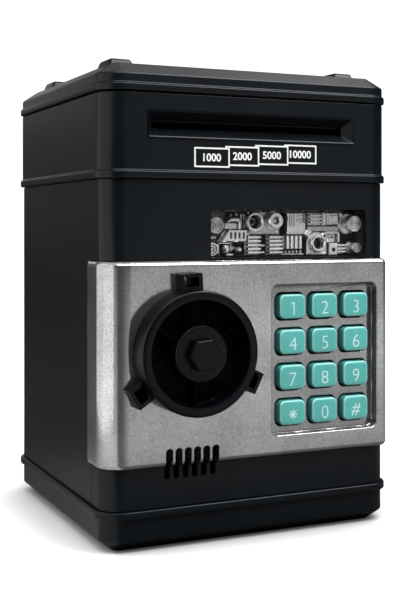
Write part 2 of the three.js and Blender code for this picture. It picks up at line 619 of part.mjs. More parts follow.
function doorBackCover() {
  const y0 = DOOR_REAR + GAP;
  const y1 = y0 + COVER_PLATE_T;
  const plate = prism(roundRect(-60.2, 58.9, DOOR_BOTTOM + 0.8, DOOR_TOP - 0.8, 3), "y", y0, y1);
  const p = PAN;
  const t = PAN_WALL;
  const pan = prism(roundRect(p.x0, p.x1, p.z0, p.z1, 3), "y", y0, p.rear);
  const hollow = prism(roundRect(p.x0 + t, p.x1 - t, p.z0 + t, p.z1 - t, 2), "y", y0 - 1, p.rear - t);
  const guideZ = BOLT_TOP + 0.4;
  const ribs = [
    box(-43, -34, BOLT_Y0, p.rear - 1, guideZ, guideZ + 1.4),
    box(-27, -22.5, BOLT_Y0, p.rear - 1, guideZ, guideZ + 1.4),
  ];
  const bearing = rod("y", WHEEL.x, WHEEL.z, 4.4, BOLT_Y1 + 0.6, p.rear - 1, 16);
  const boltDoor = box(p.x0 - 1, p.x0 + 3, BOLT_Y0 - 0.4, BOLT_Y1 + 0.4, BOLT_TOP - 6.2, guideZ);
  const bore = rod("y", WHEEL.x, WHEEL.z, 2.2, BOLT_Y1, p.rear - 1.2, 16);
  const heads = DOOR_SCREWS.map(([x, z]) => rod("y", x, z, 2.6, y0 + 0.6, y1 + 1, 12));
  const shanks = DOOR_SCREWS.map(([x, z]) => rod("y", x, z, 1.4, y0 - 1, y1 + 1, 10));
  return cut(join(cut(join(plate, pan), hollow), ...ribs, bearing), boltDoor, bore, ...heads, ...shanks);
}

function doorScrew([x, z]) {
  const head = DOOR_REAR + GAP + COVER_PLATE_T;
  const body = join(rod("y", x, z, 2.3, head - 0.8, head - 0.1, 12), rod("y", x, z, 1, head - 6, head - 0.5, 10));
  return cut(body, box(x - 1.5, x + 1.5, head - 0.5, head + 1, z - 0.3, z + 0.3));
}

function key({ x, z }) {
  const level = (y, inset, r = KEY_R) => ({
    z: y,
    x0: x - KEY_W / 2 + inset,
    x1: x + KEY_W / 2 - inset,
    y0: -KEY_H / 2 + inset,
    y1: KEY_H / 2 - inset,
    r,
  });
  const front = PAD_FLOOR - KEY_PROUD;
  const cap = stackY([level(front, 0.8, 1.8), level(front + 0.35, 0.2, 2.3), level(front + 1.4, 0), level(-54.5, 0)], z);
  const w = KEY_W / 2 + 0.85;
  const h = KEY_H / 2 + 0.85;
  const flange = box(x - w, x + w, DOOR_REAR + 0.4, DOOR_REAR + 1.4, z - h, z + h);
  return join(cap, flange);
}

function handwheel() {
  const w = WHEEL;
  const h = w.h - GAP;
  const ring = [
    [w.inner, 0],
    [w.r - 0.5, 0],
    [w.r, 0.6],
    [w.r, h - 1.1],
    [w.r - 1.1, h],
    [w.inner + 0.5, h],
    [w.inner, h - 0.5],
    [w.inner, 1.6],
    [w.hub, 1.6],
    [w.hub, h - 0.6],
    [w.hub - 0.6, h],
    [0, h],
    [0, 0],
    [w.inner, 0],
  ].map(([r, y]) => new THREE.Vector2(r, -y));
  const dish = solid(new THREE.LatheGeometry(ring.reverse(), 36).translate(w.x, WHEEL_BACK, w.z));
  const around = (angle, make) => {
    const g = make.rotateY((-angle * Math.PI) / 180);
    return solid(g.translate(w.x, 0, w.z));
  };
  const bar = (r0, r1, width, y0, y1) =>
    new THREE.BoxGeometry(r1 - r0, y1 - y0, width).translate((r0 + r1) / 2, (y0 + y1) / 2, 0);
  const lugFront = WHEEL_FRONT + 5.2;
  const lugs = LUG_ANGLES.map((a) => around(a, bar(w.r - 1.5, w.r + 6.2, 8.6, lugFront, WHEEL_BACK)));
  const pockets = LUG_ANGLES.map((a) => around(a, bar(w.r + 1.2, w.r + 4.8, 5.4, lugFront - 1, WHEEL_BACK - 1.4)));
  const spokes = LUG_ANGLES.map((a) => around(a - 5, bar(w.hub - 1, w.inner + 0.5, 9, WHEEL_BACK - 4, WHEEL_BACK - 1)));
  const shaft = rod("y", w.x, w.z, SHAFT_R, WHEEL_BACK - 1, BOLT_Y1 + 0.2, 16);
  const pilot = rod("y", w.x, w.z, 1.9, BOLT_Y1, PAN.rear - 2.2, 16);
  const socket = rod("y", w.x, w.z, 4.4, WHEEL_FRONT - 1, WHEEL_FRONT + 2.2, 16);
  return cut(join(dish, ...lugs, ...spokes, shaft, pilot), socket, ...pockets);
}

function hexCap() {
  const r = HEX_FLATS / Math.sqrt(3);
  const turn = THREE.MathUtils.degToRad(HEX_TURN);
  const hex = new THREE.Shape(
    Array.from({ length: 6 }, (_, i) => {
      const a = (i * Math.PI) / 3 + turn;
      return new THREE.Vector2(WHEEL.x + r * Math.cos(a), WHEEL.z + r * Math.sin(a));
    }),
  );
  const stem = rod("y", WHEEL.x, WHEEL.z, 4.1, WHEEL_FRONT - 1, WHEEL_FRONT + 1.9, 16);
  return join(prism(hex, "y", WHEEL_FRONT - HEX_H, WHEEL_FRONT - 0.06), stem);
}

function latchPinion() {
  const shape = gearShape(LATCH_MODULE, LATCH_TEETH, Math.PI / 2);
  const teeth = prism(shape, "y", BOLT_Y0, BOLT_Y1 - 0.1, 1);
  const bore = solid(new THREE.CylinderGeometry(SHAFT_R + 0.12, SHAFT_R + 0.12, 20, 16).translate(0, -50, 0));
  const centred = geometryOf(cut(teeth, bore));
  return solid(centred.translate(WHEEL.x, 0, WHEEL.z));
}

function latchBolt() {
  const rackZ = WHEEL.z + LATCH_PITCH_R;
  const pitch = Math.PI * LATCH_MODULE;
  const base = rackZ + 1.1;
  const points = [
    [BOLT_TIP, base],
    [BOLT_TIP, BOLT_TOP],
    [BOLT_END, BOLT_TOP],
    [BOLT_END, base],
  ];
  const slope = Math.tan(THREE.MathUtils.degToRad(20));
  for (let k = 4; k >= -2; k--) {
    const x = WHEEL.x + (k + 0.5) * pitch;
    const half = (z) => pitch / 4 - 0.16 + (z - rackZ) * slope;
    const tip = rackZ - 0.5;
    points.push([x + half(base), base], [x + half(tip), tip], [x - half(tip), tip], [x - half(base), base]);
  }
  const shape = new THREE.Shape(points.map(([x, z]) => new THREE.Vector2(x, z)));
  const notch = box(BOLT_NOTCH_X - 2, BOLT_NOTCH_X + 2, BOLT_Y0 - 1, BOLT_Y1 + 1, BOLT_TOP - 2, BOLT_TOP + 1);
  return cut(prism(shape, "y", BOLT_Y0, BOLT_Y1), notch);
}

function lockSolenoid() {
  const x = BOLT_NOTCH_X - (LATCH_PITCH_R * Math.PI) / 2;
  const y = (BOLT_Y0 + BOLT_Y1) / 2;
  const coil = box(x - 6, x + 6, y - 3.6, PAN.rear - PAN_WALL - 0.3, BOLT_TOP + 3, PAN.z1 - PAN_WALL - 1);
  return join(coil, rod("z", x, y, 1.4, BOLT_TOP + 0.5, BOLT_TOP + 4, 12));
}

add("door_panel", doorPanel(), silver);
add("door_back_cover", doorBackCover(), blackInner);
add("hinge_pin_upper", rod("z", PIVOT.x, PIVOT.y, 0.8, DOOR_TOP - 5.8, DOOR_TOP + 4, 12), steel);
add("hinge_pin_lower", rod("z", PIVOT.x, PIVOT.y, 0.8, DOOR_BOTTOM - 4.5, DOOR_BOTTOM + 5.8, 12), steel);
DOOR_SCREWS.forEach((place, i) => add(`door_screw_${i + 1}`, doorScrew(place), steel));
KEYS.forEach((k) => add(`key_${k.label}`, key(k), teal));
add("key_mat", box(9, 52.9, -52.7, -51.9, 42.8, 98.5), rubber);
add("key_board", box(9, 52.9, -51.6, -50, 42.8, 98.5), board);
add("handwheel", handwheel(), black);
add("hex_cap", hexCap(), black);
add("latch_pinion", latchPinion(), nylon);
add("latch_bolt", latchBolt(), steel);
add("lock_solenoid", lockSolenoid(), steel);

// ---------------------------------------------------------------- upper housing and banknote feed
const UPPER_OUT = 0.6; // the upper walls stand this much outside the lower ones

function upperHousing() {
  const shell = bodyStack([
    bodyLevel(UPPER_BOTTOM, -BAND_PROUD),
    bodyLevel(UPPER_BOTTOM + BAND_H, -BAND_PROUD),
    bodyLevel(UPPER_BOTTOM + BAND_H + 0.01, -UPPER_OUT),
    bodyLevel(UPPER_TOP, -UPPER_OUT),
  ]);
  const hollow = bodyPrism(UPPER_BOTTOM - 1, UPPER_TOP + 1, WALL);
  const s = SLOT;
  const lipBlock = box(-49, 49, FRONT, FRONT + s.depth + 1.2, NOTE_Z - 8, NOTE_Z + 8);
  const mouthLevel = (y, halfW, halfH, r) => ({ z: y, x0: -halfW, x1: halfW, y0: -halfH, y1: halfH, r });
  const mouth = stackY(
    [
      mouthLevel(FRONT - UPPER_OUT, s.outerHalfW, s.outerHalfH, 0.8),
      mouthLevel(FRONT + s.depth, s.halfW, s.halfH, 0.4),
      mouthLevel(FRONT + s.depth + 3, s.halfW, s.halfH, 0.4),
    ],
    NOTE_Z,
    2,
  );
  const flare = stackY(
    [
      mouthLevel(FRONT - UPPER_OUT - 1, s.outerHalfW, s.outerHalfH, 0.8),
      mouthLevel(FRONT - UPPER_OUT + 0.01, s.outerHalfW, s.outerHalfH, 0.8),
    ],
    NOTE_Z,
    2,
  );
  return cut(join(cut(shell, hollow), lipBlock), mouth, flare);
}

const CHEEK_T = 1.6;
const GEAR_X = [CHEEK_X + CHEEK_T + 0.8, CHEEK_X + CHEEK_T + 3.8];

function feedFrame() {
  const z0 = UPPER_BOTTOM + GAP;
  const z1 = UPPER_TOP - 2;
  const y0 = FRONT + SLOT.depth + 1.6;
  const y1 = -8;
  const cheeks = [-1, 1].map((s) => {
    const x = s < 0 ? [-CHEEK_X - CHEEK_T, -CHEEK_X] : [CHEEK_X, CHEEK_X + CHEEK_T];
    return box(...x, y0, y1, z0, z1);
  });
  const lower = box(-CHEEK_X - 1, CHEEK_X + 1, y0, y1, NOTE_Z - 2.6, NOTE_Z - 1.4);
  const upper = box(-CHEEK_X - 1, CHEEK_X + 1, y0, y1, NOTE_Z + 1.4, NOTE_Z + 2.6);
  const tie = box(-CHEEK_X - 1, CHEEK_X + 1, y1 - 1.5, y1, z0, z0 + 5);
  const holes = [
    rod("x", DRIVE.y, DRIVE.z, DRIVE.shaftR + GAP, -60, 60, 16),
    rod("x", IDLER.y, IDLER.z, IDLER.shaftR + GAP, -60, 60, 16),
    rod("x", MOTOR.y, MOTOR.z, 3, 40, 60, 16),
    box(-35, 35, DRIVE.y - DRIVE.r - 1, DRIVE.y + DRIVE.r + 1, NOTE_Z - 4, NOTE_Z),
    box(-35, 35, IDLER.y - IDLER.r - 1, IDLER.y + IDLER.r + 1, NOTE_Z, NOTE_Z + 4),
  ];
  return cut(join(...cheeks, lower, upper, tie), ...holes);
}

const rollers = (y, z, r) => [
  [-33, -21],
  [-6, 6],
  [21, 33],
].map(([x0, x1]) => rod("x", y, z, r, x0, x1, 16));

// A gear on a shaft along X; turn is where a tooth points, measured in the Y-Z plane.
function gearX(teeth, turn, centre, boreR) {
  const shape = gearShape(FEED_MODULE, teeth, turn);
  const blank = geometryOf(prism(shape, "x", ...GEAR_X, 1)).translate(0, centre.y, centre.z);
  return boreR ? cut(solid(blank), rod("x", centre.y, centre.z, boreR, 40, 60, 16)) : solid(blank);
}

const MESH_ANGLE = THREE.MathUtils.degToRad(MOTOR_ANGLE);

function driveRoller() {
  return join(
    rod("x", DRIVE.y, DRIVE.z, DRIVE.shaftR, -CHEEK_X - 3, GEAR_X[1] + 1, 12),
    ...rollers(DRIVE.y, DRIVE.z, DRIVE.r),
  );
}

function idlerRoller() {
  return join(
    rod("x", IDLER.y, IDLER.z, IDLER.shaftR, -CHEEK_X - 2, CHEEK_X + 2, 12),
    ...rollers(IDLER.y, IDLER.z, IDLER.r),
  );
}

function motor() {
  const can = rod("x", MOTOR.y, MOTOR.z, 7.4, 22, CHEEK_X - 1.6, 24);
  const nose = rod("x", MOTOR.y, MOTOR.z, 2.6, CHEEK_X - 2, CHEEK_X + 0.6, 16);
  return cut(join(can, nose), rod("x", MOTOR.y, MOTOR.z, 1.3, CHEEK_X - 6, CHEEK_X + 2, 12));
}

add("upper_housing", upperHousing(), black);
add("feed_frame", feedFrame(), blackInner);
add("drive_roller", driveRoller(), rubber);
add("roller_gear", gearX(ROLLER_TEETH, MESH_ANGLE, DRIVE, DRIVE.shaftR + 0.12), nylon);
add("idler_roller", idlerRoller(), rubber);
add("motor", motor(), steel);
add(
  "motor_pinion",
  join(
    gearX(PINION_TEETH, MESH_ANGLE + Math.PI + Math.PI / PINION_TEETH, MOTOR),
    rod("x", MOTOR.y, MOTOR.z, 1, CHEEK_X - 5.5, GEAR_X[0] + 1, 12),
  ),
  nylon,
);

// ---------------------------------------------------------------- top cover
function topCover() {
  const shell = bodyStack([
    bodyLevel(COVER_BOTTOM, -BAND_PROUD),
    bodyLevel(COVER_BOTTOM + BAND_H - 0.2, -BAND_PROUD),
    bodyLevel(COVER_BOTTOM + BAND_H - 0.19, -UPPER_OUT),
    bodyLevel(COVER_SHOULDER, -UPPER_OUT),
    bodyLevel(COVER_TOP, EDGE_INSET),
  ]);
  const hollow = bodyStack([
    bodyLevel(COVER_BOTTOM - 1, WALL),
    bodyLevel(COVER_SHOULDER - 0.6, WALL),
    bodyLevel(COVER_TOP - WALL, EDGE_INSET + 1.4),
  ]);
  const lugs = [-1, 1].flatMap((sx) =>
    [-1, 1].map((sy) => {
      const level = (z, grow) => ({
        z,
        x0: sx * 51 - 4.2 - grow,
        x1: sx * 51 + 4.2 + grow,
        y0: sy * 37.6 - 6.1 - grow,
        y1: sy * 37.6 + 6.1 + grow,
        r: 1.2,
      });
      return stack([level(COVER_TOP - 1, 1.6), level(LUG_TOP - 1, 0.6), level(LUG_TOP, 0)], 2);
    }),
  );
  const c = COIN_SLOT;
  const coin = prism(roundRect(-c.w / 2, c.w / 2, c.y - c.t / 2, c.y + c.t / 2, 2.2), "z", COVER_TOP - 4, 200);
  return cut(join(cut(shell, hollow), ...lugs), coin);
}

function coinChute() {
  const c = COIN_SLOT;
  const t = 1.4;
  const z = [UPPER_BOTTOM + 2, COVER_TOP - WALL - GAP];
  const outer = box(-c.w / 2 - t, c.w / 2 + t, c.y - c.t / 2 - t, c.y + c.t / 2 + t, ...z);
  const inner = box(-c.w / 2, c.w / 2, c.y - c.t / 2, c.y + c.t / 2, z[0] - 1, z[1] + 1);
  const flange = box(-c.w / 2 - 5, c.w / 2 + 5, c.y - 7, c.y + 7, z[1] - 1.5, z[1]);
  return cut(join(outer, flange), inner);
}

add("top_cover", topCover(), black);
add("coin_chute", coinChute(), blackInner);

export default bank;
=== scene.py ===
"""Look of the toy cash-machine savings bank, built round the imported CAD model.

Lengths are in millimetres up to the point where a mesh is made, and in metres after it.
"""

from math import cos, pi, radians, sin, sqrt

import bmesh
import bpy
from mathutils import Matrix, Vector


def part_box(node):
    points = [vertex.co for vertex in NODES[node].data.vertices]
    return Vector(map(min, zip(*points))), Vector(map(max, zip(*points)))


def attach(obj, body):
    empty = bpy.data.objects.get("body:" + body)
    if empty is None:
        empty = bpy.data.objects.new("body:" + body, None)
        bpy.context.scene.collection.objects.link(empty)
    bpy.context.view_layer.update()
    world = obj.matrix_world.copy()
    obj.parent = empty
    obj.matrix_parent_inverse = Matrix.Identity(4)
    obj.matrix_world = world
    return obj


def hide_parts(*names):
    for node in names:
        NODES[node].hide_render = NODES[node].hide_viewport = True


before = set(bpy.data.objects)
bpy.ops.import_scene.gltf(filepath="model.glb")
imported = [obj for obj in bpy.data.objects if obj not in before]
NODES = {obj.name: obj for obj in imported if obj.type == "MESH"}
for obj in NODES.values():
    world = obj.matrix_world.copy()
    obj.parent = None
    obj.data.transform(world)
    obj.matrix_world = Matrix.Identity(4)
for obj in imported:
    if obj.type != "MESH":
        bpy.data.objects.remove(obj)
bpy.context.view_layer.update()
MM = 0.001


# ---------------------------------------------------------------- camera
CAMERA_AT = (-198.7, -442.1, 124.7)
CAMERA_YAW = 24.58  # degrees to the right of +Y
LENS = 64.6
SHIFT_Y = -0.126

camera_data = bpy.data.cameras.new("camera")
camera_data.lens = LENS
camera_data.sensor_width = 36
camera_data.shift_y = SHIFT_Y
camera_data.clip_start = 0.01
camera = bpy.data.objects.new("camera", camera_data)
camera.location = Vector(CAMERA_AT) * MM
camera.rotation_euler = (radians(90), 0, radians(-CAMERA_YAW))
bpy.context.scene.collection.objects.link(camera)
bpy.context.scene.camera = camera


# ---------------------------------------------------------------- CAD sizes, in millimetres
def box_mm(node):
    low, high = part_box(node)
    return [v / MM for v in low], [v / MM for v in high]


DOOR_LOW, DOOR_HIGH = box_mm("door_panel")
DOOR_X0, DOOR_X1 = DOOR_LOW[0], DOOR_HIGH[0]
DOOR_Y0, DOOR_FLANK_END = DOOR_LOW[1], DOOR_HIGH[1]
DOOR_Z0, DOOR_Z1 = DOOR_LOW[2], DOOR_HIGH[2]
DOOR_REAR = box_mm("door_back_cover")[0][1] - 0.3
HEX_LOW, HEX_HIGH = box_mm("hex_cap")
WHEEL_X = (HEX_LOW[0] + HEX_HIGH[0]) / 2
WHEEL_Z = (HEX_LOW[2] + HEX_HIGH[2]) / 2
WHEEL_FRONT = box_mm("handwheel")[0][1]
WHEEL_BACK = DOOR_Y0 - 0.3
RELIEF_LOW, RELIEF_HIGH = box_mm("relief_panel")
HOUSING_FRONT = box_mm("upper_housing")[0][1]
KEY_LABELS = ["1", "2", "3", "4", "5", "6", "7", "8", "9", "star", "0", "hash"]
KEY_W, KEY_H, KEY_R = 11.7, 9.8, 2.2
KEYS = {}
for label in KEY_LABELS:
    low, high = box_mm("key_" + label)
    KEYS[label] = ((low[0] + high[0]) / 2, (low[2] + high[2]) / 2, low[1])


# ---------------------------------------------------------------- mesh making
def new_object(name, vertices, faces, material=None):
    mesh = bpy.data.meshes.new(name)
    mesh.from_pydata([tuple(c * MM for c in v) for v in vertices], [], faces)
    tidy = bmesh.new()
    tidy.from_mesh(mesh)
    bmesh.ops.recalc_face_normals(tidy, faces=tidy.faces)
    tidy.to_mesh(mesh)
    tidy.free()
    ob = bpy.data.objects.new(name, mesh)
    bpy.context.scene.collection.objects.link(ob)
    if material:
        mesh.materials.append(material)
    return ob


def loft(name, rings, material=None):
    """Closed rings of equal length joined one to the next, with a flat cap at each end."""
    count = len(rings[0])
    vertices = [p for ring in rings for p in ring]
    faces = []
    for k in range(len(rings) - 1):
        for i in range(count):
            j = (i + 1) % count
            a, b = k * count, (k + 1) * count
            faces.append((a + i, a + j, b + j, b + i))
    faces.append(tuple(range(count)))
    faces.append(tuple(range((len(rings) - 1) * count, len(rings) * count)))
    return new_object(name, vertices, faces, material)


def to_3d(axis, a, b, h):
    return {"x": (h, a, b), "y": (a, h, b), "z": (a, b, h)}[axis]


def prism(name, points, axis, low, high, material=None):
    rings = [[to_3d(axis, a, b, h) for a, b in points] for h in (low, high)]
    return loft(name, rings, material)


def block(x0, x1, y0, y1, z0, z1, name="block"):
    return prism(name, [(x0, y0), (x1, y0), (x1, y1), (x0, y1)], "z", z0, z1)


def arc(cx, cy, r, start, end, steps):
    turns = [radians(start + (end - start) * i / steps) for i in range(steps + 1)]
    return [(cx + r * cos(t), cy + r * sin(t)) for t in turns]


def round_rect(x0, x1, y0, y1, r, steps=6):
    points = arc(x1 - r, y0 + r, r, -90, 0, steps)
    points += arc(x1 - r, y1 - r, r, 0, 90, steps)
    points += arc(x0 + r, y1 - r, r, 90, 180, steps)
    points += arc(x0 + r, y0 + r, r, 180, 270, steps)
    return points


def circle(cx, cy, r, steps=32):
    return arc(cx, cy, r, 0, 360 - 360 / steps, steps - 1)


def lathe_y(name, profile, cx, cz, segments=96, material=None):
    """Turns a closed (radius, y) profile round an axis along Y; points on the axis are shared."""
    vertices, rows = [], []
    for r, y in profile:
        if r < 1e-6:
            rows.append([len(vertices)] * segments)
            vertices.append((cx, y, cz))
            continue
        rows.append(list(range(len(vertices), len(vertices) + segments)))
        for i in range(segments):
            t = 2 * pi * i / segments
            vertices.append((cx + r * cos(t), y, cz + r * sin(t)))
    faces = []
    closed = profile[0][0] > 1e-6
    last = len(rows) if closed else len(rows) - 1
    for k in range(last):
        lower, upper = rows[k], rows[(k + 1) % len(rows)]
        for i in range(segments):
            j = (i + 1) % segments
            corners = [lower[i], lower[j], upper[j], upper[i]]
            face = list(dict.fromkeys(corners))
            if len(face) > 2:
                faces.append(tuple(face))
    return new_object(name, vertices, faces, material)


def carve(ob, tools, operation="DIFFERENCE"):
    """Applies every tool to the object as a boolean, and deletes the tools."""
    for tool in tools:
        step = ob.modifiers.new("boolean", "BOOLEAN")
        step.object = tool
        step.operation = operation
        step.solver = "EXACT"
    graph = bpy.context.evaluated_depsgraph_get()
    mesh = bpy.data.meshes.new_from_object(ob.evaluated_get(graph))
    ob.modifiers.clear()
    ob.data = mesh
    for tool in tools:
        bpy.data.objects.remove(tool)
    return ob


def smooth_group():
    """A node group that shades smooth except across sharp edges."""
    tree = bpy.data.node_groups.new("smooth_by_angle", "GeometryNodeTree")
    tree.interface.new_socket("Geometry", in_out="INPUT", socket_type="NodeSocketGeometry")
    tree.interface.new_socket("Geometry", in_out="OUTPUT", socket_type="NodeSocketGeometry")
    start = tree.nodes.new("NodeGroupInput")
    end = tree.nodes.new("NodeGroupOutput")
    faces = tree.nodes.new("GeometryNodeSetShadeSmooth")
    edges = tree.nodes.new("GeometryNodeSetShadeSmooth")
    edges.domain = "EDGE"
    angle = tree.nodes.new("GeometryNodeInputMeshEdgeAngle")
    flat = tree.nodes.new("FunctionNodeCompare")
    flat.data_type = "FLOAT"
    flat.operation = "LESS_THAN"
    flat.inputs["B"].default_value = radians(32)
    tree.links.new(start.outputs[0], faces.inputs["Geometry"])
    tree.links.new(faces.outputs[0], edges.inputs["Geometry"])
    tree.links.new(angle.outputs["Unsigned Angle"], flat.inputs["A"])
    tree.links.new(flat.outputs[0], edges.inputs["Shade Smooth"])
    tree.links.new(edges.outputs[0], end.inputs[0])
    return tree


def bare_group():
    """A node group that drops the stored normals and sharp marks a carried-over mesh comes with."""
    tree = bpy.data.node_groups.new("bare_mesh", "GeometryNodeTree")
    tree.interface.new_socket("Geometry", in_out="INPUT", socket_type="NodeSocketGeometry")
    tree.interface.new_socket("Geometry", in_out="OUTPUT", socket_type="NodeSocketGeometry")
    geometry = tree.nodes.new("NodeGroupInput").outputs[0]
    for stored in ("custom_normal", "sharp_face", "sharp_edge"):
        drop = tree.nodes.new("GeometryNodeRemoveAttribute")
        drop.inputs["Name"].default_value = stored
        tree.links.new(geometry, drop.inputs["Geometry"])
        geometry = drop.outputs[0]
    tree.links.new(geometry, tree.nodes.new("NodeGroupOutput").inputs[0])
    return tree


SMOOTH = smooth_group()
BARE = bare_group()


def soften(ob, width=0.3, segments=2, angle=38, clamp=True):
    """Rounds the sharp edges and shades the rest smooth."""
    if width:
        edge = ob.modifiers.new("edges", "BEVEL")
        edge.width = width * MM
        edge.segments = segments
        edge.limit_method = "ANGLE"
        edge.angle_limit = radians(angle)
        edge.miter_outer = "MITER_ARC"
        edge.use_clamp_overlap = clamp
    smooth = ob.modifiers.new("smooth", "NODES")
    smooth.node_group = SMOOTH
    if width:
        ob.modifiers.new("normals", "WEIGHTED_NORMAL").keep_sharp = True
    return ob


# ---------------------------------------------------------------- sizes that materials and pieces share
WHEEL_R, DISH_R, HUB_R, LUG_R = 24, 20.2, 10.7, 30.2
PAD = {"x0": 6, "x1": 55.7, "z0": 40.4, "z1": 100.8, "r": 3, "floor": DOOR_Y0 + 4}


# ---------------------------------------------------------------- materials
def new_material(name, color, roughness, metallic=0.0, specular=0.5):
    material = bpy.data.materials.new(name)
    material.use_nodes = True
    shader = material.node_tree.nodes["Principled BSDF"]
    shader.inputs["Base Color"].default_value = (*color, 1)
    shader.inputs["Roughness"].default_value = roughness
    shader.inputs["Metallic"].default_value = metallic
    shader.inputs["Specular IOR Level"].default_value = specular
    return material, shader


def noise(tree, scale, detail=3, roughness=0.5):
    place = tree.nodes.new("ShaderNodeTexCoord")
    node = tree.nodes.new("ShaderNodeTexNoise")
    node.inputs["Scale"].default_value = scale
    node.inputs["Detail"].default_value = detail
    node.inputs["Roughness"].default_value = roughness
    tree.links.new(place.outputs["Object"], node.inputs["Vector"])
    return node.outputs["Fac"]


def math_node(tree, operation, *values):
    node = tree.nodes.new("ShaderNodeMath")
    node.operation = operation
    for socket, value in zip(node.inputs, values):
        if isinstance(value, (int, float)):
            socket.default_value = value
        else:
            tree.links.new(value, socket)
    return node.outputs[0]


def along(tree, vector, direction):
    node = tree.nodes.new("ShaderNodeVectorMath")
    node.operation = "DOT_PRODUCT"
    tree.links.new(vector, node.inputs[0])
    node.inputs[1].default_value = direction
    return node.outputs["Value"]


def fade(tree, value, start, end, low=0.0, high=1.0):
    node = tree.nodes.new("ShaderNodeMapRange")
    node.interpolation_type = "SMOOTHSTEP"
    for name, number in (("From Min", start), ("From Max", end), ("To Min", low), ("To Max", high)):
        node.inputs[name].default_value = number
    tree.links.new(value, node.inputs["Value"])
    return node.outputs["Result"]


def ramp(tree, factor, low, high, start=0.3, end=0.7):
    node = tree.nodes.new("ShaderNodeValToRGB")
    node.color_ramp.elements[0].position = start
    node.color_ramp.elements[1].position = end
    node.color_ramp.elements[0].color = (*low, 1)
    node.color_ramp.elements[1].color = (*high, 1)
    tree.links.new(factor, node.inputs["Fac"])
    return node.outputs["Color"]


def spread(tree, factor, low, high):
    node = tree.nodes.new("ShaderNodeMapRange")
    node.inputs["From Min"].default_value = 0.3
    node.inputs["From Max"].default_value = 0.7
    node.inputs["To Min"].default_value = low
    node.inputs["To Max"].default_value = high
    tree.links.new(factor, node.inputs["Value"])
    return node.outputs["Result"]


def surface(
    name, dark, light, rough, metallic=0.0, specular=0.5, grain=2600, patch=60, bump=0.2, depth=0.03
):
    """A finish whose colour, roughness and fine texture vary; grain and patch are per metre."""
    material, shader = new_material(name, light, rough[0], metallic, specular)
    tree = material.node_tree
    fine = noise(tree, grain, 2, 0.6)
    broad = noise(tree, patch, 4, 0.55)
    both = math_node(tree, "MULTIPLY_ADD", fine, 0.55, math_node(tree, "MULTIPLY", broad, 0.45))
    tree.links.new(ramp(tree, both, dark, light, 0.36, 0.64), shader.inputs["Base Color"])
    tree.links.new(spread(tree, broad, *rough), shader.inputs["Roughness"])
    relief = tree.nodes.new("ShaderNodeBump")
    relief.inputs["Strength"].default_value = bump
    relief.inputs["Distance"].default_value = depth * MM
    tree.links.new(fine, relief.inputs["Height"])
    tree.links.new(relief.outputs["Normal"], shader.inputs["Normal"])
    return material


def mixed(tree, factor, first, second):
    """Blends a linked colour with a linked or a fixed one."""
    node = tree.nodes.new("ShaderNodeMix")
    node.data_type = "RGBA"
    tree.links.new(factor, node.inputs["Factor"])
    colors = [socket for socket in node.inputs if socket.type == "RGBA"]
    tree.links.new(first, colors[0])
    if isinstance(second, tuple):
        colors[1].default_value = (*second, 1)
    else:
        tree.links.new(second, colors[1])
    return [socket for socket in node.outputs if socket.type == "RGBA"][0]


SHELL = surface(
    "shell_black", (0.0017, 0.0030, 0.0044), (0.0030, 0.0048, 0.0066), (0.27, 0.33), specular=0.23, bump=0.3
)
WHEEL = surface(
    "wheel_black", (0.0004, 0.0008, 0.0015), (0.0010, 0.0017, 0.0027), (0.26, 0.34), specular=0.13, bump=0.2
)
INNER = surface(
    "inner_black", (0.010, 0.011, 0.012), (0.017, 0.018, 0.020), (0.55, 0.68), specular=0.3, bump=0.35
)
SILVER = surface(
    "door_silver", (0.33, 0.329, 0.327), (0.56, 0.558, 0.554), (0.12, 0.17), metallic=0.94,
    grain=1500, bump=0.25, depth=0.03
)
STEEL = surface(
    "steel", (0.42, 0.42, 0.43), (0.62, 0.62, 0.63), (0.25, 0.38), metallic=1.0, grain=3000, bump=0.15
)
BOARD = surface("board", (0.010, 0.075, 0.028), (0.016, 0.11, 0.042), (0.35, 0.5), grain=1400, bump=0.2)
RUBBER = surface(
    "rubber", (0.012, 0.012, 0.013), (0.022, 0.022, 0.023), (0.7, 0.85), specular=0.3, bump=0.4
)
NYLON = surface("nylon", (0.62, 0.60, 0.55), (0.74, 0.72, 0.67), (0.42, 0.55), grain=1200, bump=0.12)
JACKET = surface(
    "battery_jacket", (0.03, 0.07, 0.15), (0.045, 0.10, 0.20), (0.22, 0.32), metallic=0.3, grain=500,
    bump=0.05
)
PRINT = surface(
    "white_print", (0.78, 0.79, 0.79), (0.88, 0.89, 0.89), (0.45, 0.55), grain=2500, bump=0.1
)
def dish_painted_shade(material):
    """Painted shade: turns the shine down across the handwheel's dish, so the recess reads darker."""
    tree = material.node_tree
    place = tree.nodes.new("ShaderNodeTexCoord").outputs["Object"]
    off_x = math_node(tree, "SUBTRACT", along(tree, place, (1, 0, 0)), WHEEL_X * MM)
    off_z = math_node(tree, "SUBTRACT", along(tree, place, (0, 0, 1)), WHEEL_Z * MM)
    squares = [math_node(tree, "MULTIPLY", off, off) for off in (off_x, off_z)]
    radius = math_node(tree, "SQRT", math_node(tree, "ADD", *squares))
    depth = fade(tree, along(tree, place, (0, 1, 0)), (WHEEL_FRONT + 0.4) * MM, (WHEEL_FRONT + 4) * MM)
    dish_shade_mask = math_node(tree, "MULTIPLY", depth, fade(tree, radius, (DISH_R + 0.5) * MM, (DISH_R + 0.1) * MM))
    # painted shade: less shine inside the dish, where the recess would be in shadow
    level = math_node(tree, "MULTIPLY_ADD", dish_shade_mask, -0.18, 0.2)
    tree.links.new(level, tree.nodes["Principled BSDF"].inputs["Specular IOR Level"])


dish_painted_shade(WHEEL)
KEY_PRINT = surface(
    "key_print", (0.52, 0.74, 0.71), (0.60, 0.82, 0.79), (0.45, 0.55), grain=2500, bump=0.1
)


